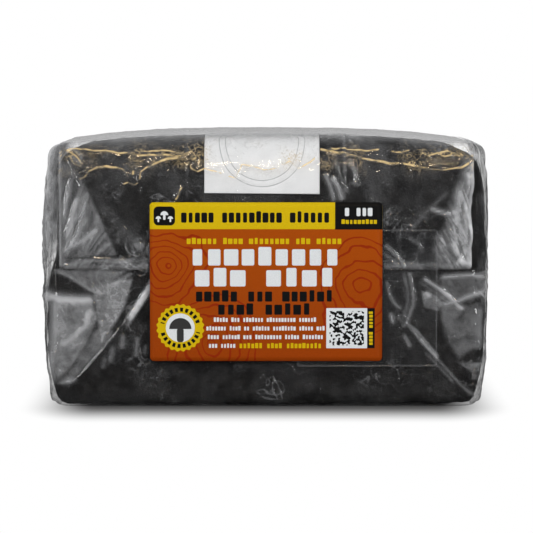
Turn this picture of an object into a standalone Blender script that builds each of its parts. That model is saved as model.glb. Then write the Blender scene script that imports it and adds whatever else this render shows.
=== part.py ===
"""A mushroom grow bag: clear side-gusseted film, folded shut round a brick of moist substrate.

The bag lies on a wide panel with its folded top end facing -Y. The end closes like an
envelope on a line across its middle, and the flattened neck turns up from that line, over
the front, across the top and down the back, where its top seal is. The filter patch lies
between the neck and the pouch, over the top front edge. A clear tab and the label hold the
fold. Metres, +Z up, X across the bag, origin under the middle of the bag.
"""

import math

import bmesh
import bpy
from mathutils import Vector

# Driving dimensions of the filled bag
BLOCK_WIDTH = 0.203
BLOCK_DEPTH = 0.126
BLOCK_HEIGHT = 0.1248
EDGE_RADIUS = 0.011
FRONT_CROWN = 0.0030
TOP_CROWN = 0.0058
SIDE_CROWN = 0.0015
CROWN_POWERS = (3, 8, 4)

# Film, folded on a line a little above the middle of the end, as the crowned top draws it up
FOLD_RISE = 0.0045
FILM_WALL = 0.0005
SIDE_SLACK = 0.0060
POCKET_DEPTH = 0.0014
POCKET_SLOPE = 0.0090
SIDE_CREASE_DEPTH = 0.0020
MOUTH_HEIGHT = 0.0010
MOUTH_ABOVE_FOLD = 0.0008

# Neck, flattened to its full width with the gussets tucked in
NECK_INSET = 0.0010
TUCK_EASE = 0.0008
PLY = 0.00025
NECK_PLIES = 4
MIDDLE_PLIES = 2
NECK_FOOT = 0.0020
NECK_END_ABOVE_BACK_FOLD = 0.020
TOP_SEAL_WIDTH = 0.010
BOTTOM_SEAL_WIDTH = 0.012
SEAL_RIB_PITCH = 0.0020
SEAL_RIB_PLIES = 2.4

# Filter patch, welded in by a double ring
PATCH_WIDTH = 0.056
PATCH_LENGTH = 0.052
PATCH_ABOVE_FOLD = 0.0372
PATCH_ASIDE = -0.0018
PATCH_THICKNESS = 0.0005
PATCH_FAR_CHAMFER = 0.006
RING_DIAMETERS = (0.0418, 0.0358)
RING_WIDTH = 0.0009
RING_HEIGHT = 0.00025
RING_EDGE_MARGIN = 0.0030

# Label and the clear tab under it
LABEL_WIDTH = 0.1128
LABEL_HEIGHT = 0.0773
LABEL_CORNER = 0.0020
LABEL_ABOVE_FOLD = 0.0328
LABEL_THICKNESS = 0.0003
TAB_WIDTH = 0.068
TAB_HEIGHT = 0.067
TAB_CORNER = 0.0015
TAB_ABOVE_FOLD = 0.0195
TAB_ASIDE = 0.050
TAB_THICKNESS = 0.0002
STEP_START = 0.0030
STEP_LENGTH = 0.0120

# Pieces that touch keep this clearance, and a bent sheet's facets take some of it
CLEARANCE = 0.0003
FACET_EASE = 0.0003

# Fineness of the faceted forms
CELLS = (8, 6, 6)
EDGE_SEGMENTS = 6
RING_SEGMENTS = 40
CORNER_SEGMENTS = 4
STEP_CUTS = 4

COLLECTION = "mushroom_grow_bag"
GUIDES = "mushroom_grow_bag_guides"

NECK_WIDTH = BLOCK_WIDTH - 2 * NECK_INSET
GUSSET_TUCK = BLOCK_HEIGHT / 2 + TUCK_EASE

# Heights of the layers above the block's own surface, from the pouch outwards
POUCH_INSIDE = CLEARANCE
POUCH_OUTSIDE = POUCH_INSIDE + FILM_WALL
PATCH_UNDER = POUCH_OUTSIDE + CLEARANCE
PATCH_TOP = PATCH_UNDER + PATCH_THICKNESS
NECK_UNDER = PATCH_TOP + RING_HEIGHT + CLEARANCE + FACET_EASE
NECK_TOP = NECK_UNDER + NECK_PLIES * PLY
TAB_OVER_NECK = NECK_TOP + CLEARANCE
TAB_OVER_POUCH = POUCH_OUTSIDE + POCKET_DEPTH + CLEARANCE
LABEL_OVER_NECK = TAB_OVER_NECK + TAB_THICKNESS + CLEARANCE
LABEL_OVER_POUCH = TAB_OVER_POUCH + TAB_THICKNESS + CLEARANCE


class Form:
    """A crowned box with rounded edges, and every surface that lies parallel to it."""

    def __init__(self, width, depth, height):
        self.half = Vector((width, depth, height)) / 2
        self.radius = EDGE_RADIUS
        self.flat = self.half - Vector((EDGE_RADIUS,) * 3)
        self.centre_z = height / 2 + POUCH_OUTSIDE

    def crown(self, base, normal):
        """How far the bulging faces carry a point of the plain rounded box outwards."""
        across, along, up = (
            max(0.0, 1 - abs(c / h) ** power)
            for c, h, power in zip(base, self.half, CROWN_POWERS)
        )
        top = TOP_CROWN * max(0.0, normal.z) * across * along
        front = FRONT_CROWN * normal.y * across * up
        side = SIDE_CROWN * normal.x * along * up
        return Vector((side, front, top))

    def place(self, inner, normal, lift):
        """The point over inner, at lift above the block."""
        base = inner + normal * self.radius
        raised = base + self.crown(base, normal) + normal * lift
        return raised + Vector((0, 0, self.centre_z))

    def wrap(self, point, lift):
        """Move a point of the plain box onto the form."""
        inner = Vector(max(-f, min(f, c)) for f, c in zip(self.flat, point))
        return self.place(inner, (point - inner).normalized(), lift)

    def arc(self):
        """The length of a quarter turn round an edge."""
        return self.radius * math.pi / 2

    def stretches(self):
        """Ends of the straight and curved stretches, going up the front from the fold."""
        end = self.flat.z - FOLD_RISE
        lengths = (end, self.arc(), 2 * self.flat.y, self.arc(), end)
        ends = [0.0]
        for length in lengths:
            ends.append(ends[-1] + length)
        return ends

    def lay(self, across, along, lift):
        """A point of a sheet on the bag: along runs up the front from the fold and over."""
        _, front, top, behind, back, _ = self.stretches()
        reach = max(-self.flat.x, min(self.flat.x, across))
        angle = math.pi
        inner = Vector((reach, self.flat.y, self.flat.z - (along - back)))
        if along <= front:
            angle = 0.0
            inner = Vector((reach, -self.flat.y, along + FOLD_RISE))
        elif along <= top:
            angle = (along - front) / self.radius
            inner = Vector((reach, -self.flat.y, self.flat.z))
        elif along <= behind:
            angle = math.pi / 2
            inner = Vector((reach, along - top - self.flat.y, self.flat.z))
        elif along <= back:
            angle = math.pi / 2 + (along - behind) / self.radius
            inner = Vector((reach, self.flat.y, self.flat.z))
        normal = Vector((0, -math.cos(angle), math.sin(angle)))
        placed = self.place(inner, normal, lift)
        placed.x += across - reach
        return placed

    def grid_lines(self, axis):
        """Where the plain box is cut along one axis, so that its edges come out round."""
        flat = self.flat[axis]
        half = CELLS[axis] // 2
        middle = FOLD_RISE if axis == 2 else 0.0
        lines = [middle + (flat - middle) * i / half for i in range(half + 1)]
        lines += [middle - (flat + middle) * i / half for i in range(1, half + 1)]
        for i in range(1, EDGE_SEGMENTS // 2):
            step = self.radius * math.tan(i * math.pi / 2 / EDGE_SEGMENTS)
            lines += [flat + step, -flat - step]
        return sorted(lines)

    def stations(self):
        """Where a laid sheet is cut along its length: the lines of the form below it."""
        _, front, top, behind, back, end = self.stretches()
        arcs = [self.arc() * i / EDGE_SEGMENTS for i in range(EDGE_SEGMENTS + 1)]
        rows = [z - FOLD_RISE for z in self.grid_lines(2) if abs(z) <= self.flat.z]
        tops = [2 * self.flat.y * i / CELLS[1] for i in range(1, CELLS[1])]
        lines = rows + [front + a for a in arcs] + [top + t for t in tops]
        lines += [behind + a for a in arcs] + [end - r for r in rows if r >= 0]
        return sorted(set(lines))


BLOCK = Form(BLOCK_WIDTH, BLOCK_DEPTH, BLOCK_HEIGHT)
BAG = Form(BLOCK_WIDTH + 2 * SIDE_SLACK, BLOCK_DEPTH, BLOCK_HEIGHT)
BACK_FOLD = BAG.stretches()[-1]
NECK_END = BACK_FOLD - NECK_END_ABOVE_BACK_FOLD


def clear_scene():
    """Remove what the scene starts with."""
    for obj in list(bpy.data.objects):
        bpy.data.objects.remove(obj, do_unlink=True)
    for name in (COLLECTION, GUIDES):
        bpy.context.scene.collection.children.link(bpy.data.collections.new(name))


def finish(name, colour, roughness, alpha=1.0, transmission=0.0):
    """A Principled material."""
    material = bpy.data.materials.new(name)
    material.use_nodes = True
    shader = material.node_tree.nodes["Principled BSDF"]
    shader.inputs["Base Color"].default_value = (*colour, 1)
    shader.inputs["Roughness"].default_value = roughness
    shader.inputs["Metallic"].default_value = 0.0
    shader.inputs["Alpha"].default_value = alpha
    shader.inputs["Transmission Weight"].default_value = transmission
    return material


def new_object(name, bm, material=None, collection=COLLECTION):
    """Make an object of the bmesh, smooth where it is round."""
    mesh = bpy.data.meshes.new(name)
    bm.to_mesh(mesh)
    bm.free()
    mesh.shade_smooth()
    mesh.set_sharp_from_angle(angle=math.radians(35))
    obj = bpy.data.objects.new(name, mesh)
    bpy.data.collections[collection].objects.link(obj)
    if material:
        mesh.materials.append(material)
    return obj


def cut(bm, faces, point, normal):
    """Cut the given faces along a plane."""
    edges = dict.fromkeys(e for f in faces for e in f.edges)
    verts = dict.fromkeys(v for f in faces for v in f.verts)
    geom = [*verts, *edges, *faces]
    bmesh.ops.bisect_plane(bm, geom=geom, dist=1e-6, plane_co=point, plane_no=normal)


def plain_box(form):
    """The form's plain box, cut along its grid lines and not yet rounded."""
    bm = bmesh.new()
    bmesh.ops.create_cube(bm, size=2.0)
    bmesh.ops.scale(bm, vec=form.half, verts=bm.verts)
    for axis in range(3):
        normal = Vector((0, 0, 0))
        normal[axis] = 1
        for line in form.grid_lines(axis):
            cut(bm, bm.faces[:], normal * line, normal)
    return bm


def build_block():
    """The brick of substrate."""
    bm = plain_box(BLOCK)
    for vert in bm.verts:
        vert.co = BLOCK.wrap(vert.co, 0.0)
    return new_object("substrate_block", bm, finish("moist substrate", (0.018, 0.017, 0.017), 0.6))


def end_faces(bm, side, test):
    """Faces of the front (-1) or back (1) end whose middle passes the test."""
    picked = []
    for face in bm.faces:
        middle = face.calc_center_median()
        if face.normal.y * side > 0.9 and test(middle):
            picked.append(face)
    return picked


def stand_off(point):
    """How far the film stands off the block, or turns in at a gusset's crease."""
    if abs(point.y) > BAG.half.y - 1e-6:
        return pocket(point)
    on_crease = abs(point.z - FOLD_RISE) < 1e-6 and abs(point.y) < BAG.flat.y
    if on_crease and abs(point.x) > BAG.half.x - 1e-6:
        return -SIDE_CREASE_DEPTH
    return 0.0


def pocket(point):
    """How far the film stands off in the folded corners of the lower half of an end."""
    apex = BAG.half.x - BAG.half.z
    from_crease = (abs(point.x) + point.z - apex) / math.sqrt(2)
    depth = 1.0
    for inside in (from_crease, BAG.half.x - abs(point.x), FOLD_RISE - point.z):
        depth *= max(0.0, min(1.0, inside / POCKET_SLOPE))
    return POCKET_DEPTH * depth


def build_pouch(material):
    """The film round the block: creased ends, gusset creases and the mouth on the fold."""
    bm = plain_box(BAG)
    apex = BAG.half.x - BAG.half.z
    for end in (-1, 1):
        for side in (-1, 1):
            corner = end_faces(
                bm, end, lambda m: m.x * side > apex - FOLD_RISE and m.z < FOLD_RISE
            )
            cut(bm, corner, Vector((side * apex, 0, 0)), Vector((side, 0, 1)))
    mouth_foot = FOLD_RISE + MOUTH_ABOVE_FOLD
    mouth = (mouth_foot, mouth_foot + MOUTH_HEIGHT)
    middle = NECK_WIDTH / 2 - GUSSET_TUCK
    for line in mouth:
        front = end_faces(bm, -1, lambda m: abs(m.x) < BAG.flat.x)
        cut(bm, front, Vector((0, 0, line)), Vector((0, 0, 1)))
    for line in (-middle, middle):
        front = end_faces(bm, -1, lambda m: True)
        cut(bm, front, Vector((line, 0, 0)), Vector((1, 0, 0)))
    opening = end_faces(bm, -1, lambda m: abs(m.x) < middle and mouth[0] < m.z < mouth[1])
    bmesh.ops.delete(bm, geom=opening, context="FACES")
    bmesh.ops.triangulate(bm, faces=bm.faces[:])
    inside, inner_faces = bm.verts[:], bm.faces[:]
    copy = bmesh.ops.duplicate(bm, geom=bm.verts[:] + bm.edges[:] + bm.faces[:])
    outside = [part for part in copy["geom"] if isinstance(part, bmesh.types.BMVert)]
    bmesh.ops.reverse_faces(bm, faces=inner_faces)
    for verts, level in ((inside, POUCH_INSIDE), (outside, POUCH_OUTSIDE)):
        for vert in verts:
            vert.co = BAG.wrap(vert.co, level + stand_off(vert.co))
    bmesh.ops.bridge_loops(bm, edges=[e for e in bm.edges if e.is_boundary])
    return new_object("bag_film", bm, material)


def rounded_outline(width, height, radius, centre):
    """A rectangle with round corners, anticlockwise, as (across, along) points."""
    points = []
    for turn in range(4):
        side_x = (1, -1, -1, 1)[turn]
        side_y = (1, 1, -1, -1)[turn]
        for i in range(CORNER_SEGMENTS + 1):
            angle = (turn + i / CORNER_SEGMENTS) * math.pi / 2
            x = side_x * (width / 2 - radius) + radius * math.cos(angle)
            y = side_y * (height / 2 - radius) + radius * math.sin(angle)
            points.append((centre[0] + x, centre[1] + y))
    return points


def flat_face(outline):
    """A bmesh with one face of this outline, in the plane of across and along."""
    bm = bmesh.new()
    bm.faces.new([bm.verts.new((x, y, 0)) for x, y in outline])
    return bm


def lay_sheet(name, bm, thickness, lift, plies=None, extra=(), material=None):
    """Lay a flat bmesh on the bag: cut it on the lines below it, drape it, thicken it."""
    collection = COLLECTION if material else GUIDES
    for line in [x for x in BAG.grid_lines(0) if abs(x) <= BAG.flat.x]:
        cut(bm, bm.faces[:], Vector((line, 0, 0)), Vector((1, 0, 0)))
    for line in [*BAG.stations(), *extra]:
        cut(bm, bm.faces[:], Vector((0, line, 0)), Vector((0, 1, 0)))
    spots = [(v.co.x, v.co.y) for v in bm.verts]
    for vert, (across, along) in zip(bm.verts, spots):
        vert.co = BAG.lay(across, along, lift(along))
    obj = new_object(name, bm, material, collection)
    wall = obj.modifiers.new("thickness", "SOLIDIFY")
    wall.thickness = thickness
    wall.offset = 1
    if plies:
        group = obj.vertex_groups.new(name="plies")
        for index, (across, along) in enumerate(spots):
            group.add([index], plies(across, along), "REPLACE")
        wall.vertex_group = group.name
        wall.thickness_vertex_group = 0.0
    if not material:
        obj.hide_render = True
        obj.display_type = "WIRE"
    return obj


def blend(value, start, end, low, high):
    """Go smoothly from low at start to high at end."""
    share = max(0.0, min(1.0, (value - start) / (end - start)))
    return low + (high - low) * share * share * (3 - 2 * share)


def seal_share(distance, share):
    """Ribs pressed into a heat seal: the share of the plies at a distance into it."""
    rib = round(distance / SEAL_RIB_PITCH) % 2
    return min(share, SEAL_RIB_PLIES / NECK_PLIES) if rib else share


def rib_lines(start, width):
    """The lines of a seal's ribs, from start along its width."""
    count = int(width / SEAL_RIB_PITCH)
    return [start + i * SEAL_RIB_PITCH for i in range(count)]


def build_neck():
    """The flattened neck, from its foot on the fold to the top seal behind."""
    middle = NECK_WIDTH / 2 - GUSSET_TUCK
    step = PLY * (NECK_PLIES - MIDDLE_PLIES)
    seal_start = NECK_END - TOP_SEAL_WIDTH

    def lift(along):
        return blend(along, -NECK_FOOT, NECK_FOOT, POUCH_OUTSIDE - FILM_WALL / 2, NECK_UNDER)

    def plies(across, along):
        share = 1.0 if abs(across) > middle + step / 2 else MIDDLE_PLIES / NECK_PLIES
        if along < -NECK_FOOT + 1e-6:
            return share / 2
        if along > seal_start - 1e-6:
            return seal_share(along - seal_start, share)
        return share

    side = NECK_WIDTH / 2
    corners = ((-side, -NECK_FOOT), (side, -NECK_FOOT), (side, NECK_END), (-side, NECK_END))
    bm = flat_face(corners)
    for line in (-middle - step, -middle, middle, middle + step):
        cut(bm, bm.faces[:], Vector((line, 0, 0)), Vector((1, 0, 0)))
    extra = [0.0, NECK_FOOT, *rib_lines(seal_start, TOP_SEAL_WIDTH)]
    return lay_sheet("neck", bm, NECK_PLIES * PLY, lift, plies, extra)


def build_bottom_seal():
    """The bag's bottom seal, lying upwards on the back from the fold there."""
    side = NECK_WIDTH / 2
    foot = BACK_FOLD - NECK_FOOT
    top = BACK_FOLD - BOTTOM_SEAL_WIDTH

    def lift(along):
        return blend(along, foot, BACK_FOLD, POUCH_OUTSIDE + CLEARANCE, POUCH_OUTSIDE - FILM_WALL / 2)

    def plies(_across, along):
        return seal_share(along - top, 1.0)

    bm = flat_face(((-side, top), (side, top), (side, BACK_FOLD), (-side, BACK_FOLD)))
    extra = [foot, *rib_lines(top, BOTTOM_SEAL_WIDTH)]
    return lay_sheet("bottom_seal", bm, NECK_PLIES * PLY, lift, plies, extra)


def join(obj, others):
    """Union the other closed shapes into the object."""
    for other in others:
        union = obj.modifiers.new(f"with {other.name}", "BOOLEAN")
        union.operation = "UNION"
        union.object = other


def build_film():
    """The whole bag: pouch, neck and bottom seal are one piece of film."""
    film = finish("clear film", (0.62, 0.63, 0.64), 0.12, alpha=0.35)
    pouch = build_pouch(film)
    join(pouch, (build_bottom_seal(), build_neck()))


def ring_face(diameter, width, centre):
    """A flat ring in the plane of across and along."""
    bm = bmesh.new()
    circles = []
    for size in (diameter / 2 - width, diameter / 2):
        made = bmesh.ops.create_circle(bm, radius=size, segments=RING_SEGMENTS)
        circles.append(made["verts"])
    bmesh.ops.translate(bm, vec=(*centre, 0), verts=bm.verts)
    bmesh.ops.bridge_loops(bm, edges=bm.edges[:])
    for face in bm.faces:
        if face.normal.z < 0:
            face.normal_flip()
    return bm


def build_patch():
    """The filter patch with the double ring that welds it to the neck."""
    left = PATCH_ASIDE - PATCH_WIDTH / 2
    right = PATCH_ASIDE + PATCH_WIDTH / 2
    near = PATCH_ABOVE_FOLD
    far = near + PATCH_LENGTH
    trim = PATCH_FAR_CHAMFER
    outline = ((left, near), (right, near), (right, far - trim), (right - trim, far))
    outline += ((left + trim, far), (left, far - trim))
    white = finish("filter fleece", (0.80, 0.81, 0.81), 0.55)
    patch = lay_sheet(
        "filter_patch", flat_face(outline), PATCH_THICKNESS, lambda _: PATCH_UNDER, material=white
    )
    centre = (PATCH_ASIDE, near + RING_EDGE_MARGIN + max(RING_DIAMETERS) / 2)
    rings = []
    root = PATCH_TOP - PATCH_THICKNESS / 2
    for number, diameter in enumerate(RING_DIAMETERS, 1):
        bm = ring_face(diameter, RING_WIDTH, centre)
        height = PATCH_THICKNESS / 2 + RING_HEIGHT
        rings.append(lay_sheet(f"weld_ring_{number}", bm, height, lambda _: root))
    join(patch, rings)


def build_tab():
    """The clear tab that holds the neck down, half on the neck and half on the pouch."""
    centre = (TAB_ASIDE, TAB_ABOVE_FOLD - TAB_HEIGHT / 2)
    bm = flat_face(rounded_outline(TAB_WIDTH, TAB_HEIGHT, TAB_CORNER, centre))
    start = -STEP_START - STEP_LENGTH
    extra = [start + STEP_LENGTH * i / STEP_CUTS for i in range(STEP_CUTS + 1)]
    clear = finish("clear tab", (0.75, 0.76, 0.77), 0.1, alpha=0.3)
    lay_sheet(
        "clear_tab",
        bm,
        TAB_THICKNESS,
        lambda along: blend(along, start, -STEP_START, TAB_OVER_POUCH, TAB_OVER_NECK),
        extra=extra,
        material=clear,
    )


def build_label():
    """The printed label, laid over the tab and the fold."""
    centre = (0.0, LABEL_ABOVE_FOLD - LABEL_HEIGHT / 2)
    bm = flat_face(rounded_outline(LABEL_WIDTH, LABEL_HEIGHT, LABEL_CORNER, centre))
    start = -STEP_START - STEP_LENGTH
    extra = [start + STEP_LENGTH * i / STEP_CUTS for i in range(STEP_CUTS + 1)]
    orange = finish("printed label", (0.36, 0.058, 0.003), 0.4)
    lay_sheet(
        "label",
        bm,
        LABEL_THICKNESS,
        lambda along: blend(along, start, -STEP_START, LABEL_OVER_POUCH, LABEL_OVER_NECK),
        extra=extra,
        material=orange,
    )


def centre_over_origin():
    """Slide everything along Y so that the bag stands with its middle over the origin."""
    graph = bpy.context.evaluated_depsgraph_get()
    depths = []
    for obj in bpy.data.collections[COLLECTION].objects:
        evaluated = obj.evaluated_get(graph)
        depths += [(evaluated.matrix_world @ Vector(c)).y for c in evaluated.bound_box]
    middle = (min(depths) + max(depths)) / 2
    for obj in bpy.data.objects:
        obj.location.y -= middle


def main():
    """Build the bag."""
    clear_scene()
    build_block()
    build_film()
    build_patch()
    build_tab()
    build_label()
    centre_over_origin()


main()
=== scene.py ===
"""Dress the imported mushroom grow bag: its block, film, filter patch, clear tab and label."""

import logging
import math
from collections.abc import Callable, Iterable
from dataclasses import dataclass
from enum import Enum
from functools import reduce

import bmesh
import bpy
import numpy as np
from mathutils import Matrix, Vector


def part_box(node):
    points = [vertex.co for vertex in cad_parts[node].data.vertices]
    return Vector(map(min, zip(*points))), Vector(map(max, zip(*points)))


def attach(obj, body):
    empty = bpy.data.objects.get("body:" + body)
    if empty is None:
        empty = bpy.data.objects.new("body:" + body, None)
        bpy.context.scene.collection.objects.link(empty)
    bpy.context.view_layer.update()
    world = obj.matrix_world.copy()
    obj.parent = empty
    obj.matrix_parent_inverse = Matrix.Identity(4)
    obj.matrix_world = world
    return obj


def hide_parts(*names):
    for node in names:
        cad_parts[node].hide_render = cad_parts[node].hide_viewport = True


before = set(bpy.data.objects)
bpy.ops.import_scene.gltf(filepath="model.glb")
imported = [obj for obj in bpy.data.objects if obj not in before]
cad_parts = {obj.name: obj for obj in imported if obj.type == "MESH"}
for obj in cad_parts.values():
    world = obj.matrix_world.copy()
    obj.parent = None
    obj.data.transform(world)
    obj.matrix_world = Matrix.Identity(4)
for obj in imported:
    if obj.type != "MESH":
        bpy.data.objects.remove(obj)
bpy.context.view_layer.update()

BODY = "root"
MM = 0.001
# UV units in a metre, on the sheets laid flat.
FLAT_SCALE = 10.0
BLOCK_INPUTS = ("X", "Y", "Half width", "Half height", "Corner")

log = logging.getLogger("grow_bag")
Array = np.ndarray


class Noise:
    """Smooth value noise on arrays of points, the same on every run."""

    TURN = np.array(Matrix.Rotation(0.9, 3, Vector((1.0, 2.0, 3.0))))

    def __init__(self, seed: int) -> None:
        """Remember the seed."""
        self.seed = seed

    def lattice(self, cell: Array) -> Array:
        """Give each cell a value.

        Args:
            cell: Rows of whole numbers.

        Returns:
            A value from 0 to 1 for each row.
        """
        mixed = cell[:, 0] * 73856093 ^ cell[:, 1] * 19349663 ^ cell[:, 2] * 83492791
        mixed = (mixed ^ (self.seed * 2654435761)) & 0xFFFFFFFF
        mixed = (mixed ^ (mixed >> 15)) * 2246822519 & 0xFFFFFFFF
        mixed = (mixed ^ (mixed >> 13)) * 3266489917 & 0xFFFFFFFF
        return ((mixed ^ (mixed >> 16)) & 0xFFFFFF) / float(0xFFFFFF)

    def smooth(self, points: Array) -> Array:
        """Read the noise.

        Args:
            points: Rows of x, y and z, in cells.

        Returns:
            A value from 0 to 1 for each row.
        """
        turned = points @ self.TURN
        cell = np.floor(turned).astype(np.int64)
        part = turned - cell
        part = part * part * (3 - 2 * part)
        total = np.zeros(len(points))
        for corner in range(8):
            step = np.array([corner & 1, corner >> 1 & 1, corner >> 2 & 1])
            weight = np.prod(np.where(step, part, 1 - part), axis=1)
            total += weight * self.lattice(cell + step)
        return total

    def layered(self, points: Array, octaves: int = 3) -> Array:
        """Sum octaves of the noise.

        Args:
            points: Rows of x, y and z, in cells.
            octaves: How many are summed, each with half the size and share of the last.

        Returns:
            A value from 0 to 1 for each row.
        """
        total, weight = np.zeros(len(points)), 0.0
        for octave in range(octaves):
            share = 0.5**octave
            total += share * self.smooth(points * 2**octave + 17.3 * octave)
            weight += share
        return total / weight

    def ridged(self, points: Array, sharpness: float = 3.0, octaves: int = 2) -> Array:
        """Noise with sharp crests, as in crumpled film.

        Args:
            points: Rows of x, y and z, in cells.
            sharpness: How narrow the crests are.
            octaves: How many are summed.

        Returns:
            A value from 0 to 1 for each row.
        """
        total, weight = np.zeros(len(points)), 0.0
        for octave in range(octaves):
            share = 0.5**octave
            raw = self.smooth(points * 2**octave + 31.7 * octave)
            total += share * (1 - np.abs(2 * raw - 1)) ** sharpness
            weight += share
        return total / weight


def ramp(value: Array, low: float, high: float) -> Array:
    """Go smoothly from 0 at low to 1 at high."""
    share = np.clip((value - low) / (high - low), 0, 1)
    return share * share * (3 - 2 * share)


@dataclass(frozen=True)
class Crease:
    """A line in the film through points of (across, up) in millimetres: raised, milky or both. Its milk is
    the film's whitening along the crease and also a painted highlight on its crest.
    """

    points: tuple[tuple[float, float], ...]
    height: float = 0.0
    width: float = 0.8
    milk: float = 0.0
    fade: float = 5.0

    def shape(self, across: Array, up: Array) -> Array:
        """The crease's crest, from 0 beside it to 1 on its line.

        Args:
            across: Millimetres across the bag.
            up: Millimetres up the sheet from the fold.

        Returns:
            A value for each point.
        """
        found = np.array(self.points)
        reach = 4 * self.width
        low, high = found.min(axis=0) - reach, found.max(axis=0) + reach
        near = (across > low[0]) & (across < high[0]) & (up > low[1]) & (up < high[1])
        x, y = across[near], up[near]
        best, along, length = np.full(len(x), 1e9), np.zeros(len(x)), 0.0
        for (x0, y0), (x1, y1) in zip(self.points, self.points[1:]):
            run = math.hypot(x1 - x0, y1 - y0)
            share = np.clip(((x - x0) * (x1 - x0) + (y - y0) * (y1 - y0)) / run**2, 0, 1)
            gap = np.hypot(x - x0 - share * (x1 - x0), y - y0 - share * (y1 - y0))
            nearer = gap < best
            best = np.where(nearer, gap, best)
            along = np.where(nearer, length + share * run, along)
            length += run
        ends = ramp(along, -0.01, self.fade) * ramp(length - along, -0.01, self.fade)
        crest = np.zeros(len(across))
        crest[near] = np.exp(-((best / self.width) ** 1.5)) * ends
        return crest


@dataclass(frozen=True)
class Puff:
    """A place where the film bellies out: its middle and its reach in millimetres."""

    across: float
    up: float
    wide: float
    tall: float
    height: float

    def shape(self, across: Array, up: Array) -> Array:
        """Height of the belly, in millimetres."""
        gap = ((across - self.across) / self.wide) ** 2 + ((up - self.up) / self.tall) ** 2
        return self.height * np.exp(-(gap**1.5))


@dataclass(frozen=True)
class Veil:
    """A place where the film hangs clear of the block and looks milky: a convex outline."""

    outline: tuple[tuple[float, float], ...]
    strength: float
    soft: float = 1.5

    def cover(self, across: Array, up: Array) -> Array:
        """Milkiness from this place.

        Args:
            across: Millimetres across the bag.
            up: Millimetres up the sheet from the fold.

        Returns:
            A value for each point.
        """
        inside = np.full(len(across), 1e9)
        points = self.outline
        area = sum(x0 * y1 - x1 * y0 for (x0, y0), (x1, y1) in zip(points, points[1:] + points[:1]))
        turn = math.copysign(1, area)
        for (x0, y0), (x1, y1) in zip(points, points[1:] + points[:1]):
            run = math.hypot(x1 - x0, y1 - y0)
            gap = turn * ((x1 - x0) * (up - y0) - (y1 - y0) * (across - x0)) / run
            inside = np.minimum(inside, gap)
        return self.strength * ramp(inside, -self.soft, self.soft)


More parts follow.
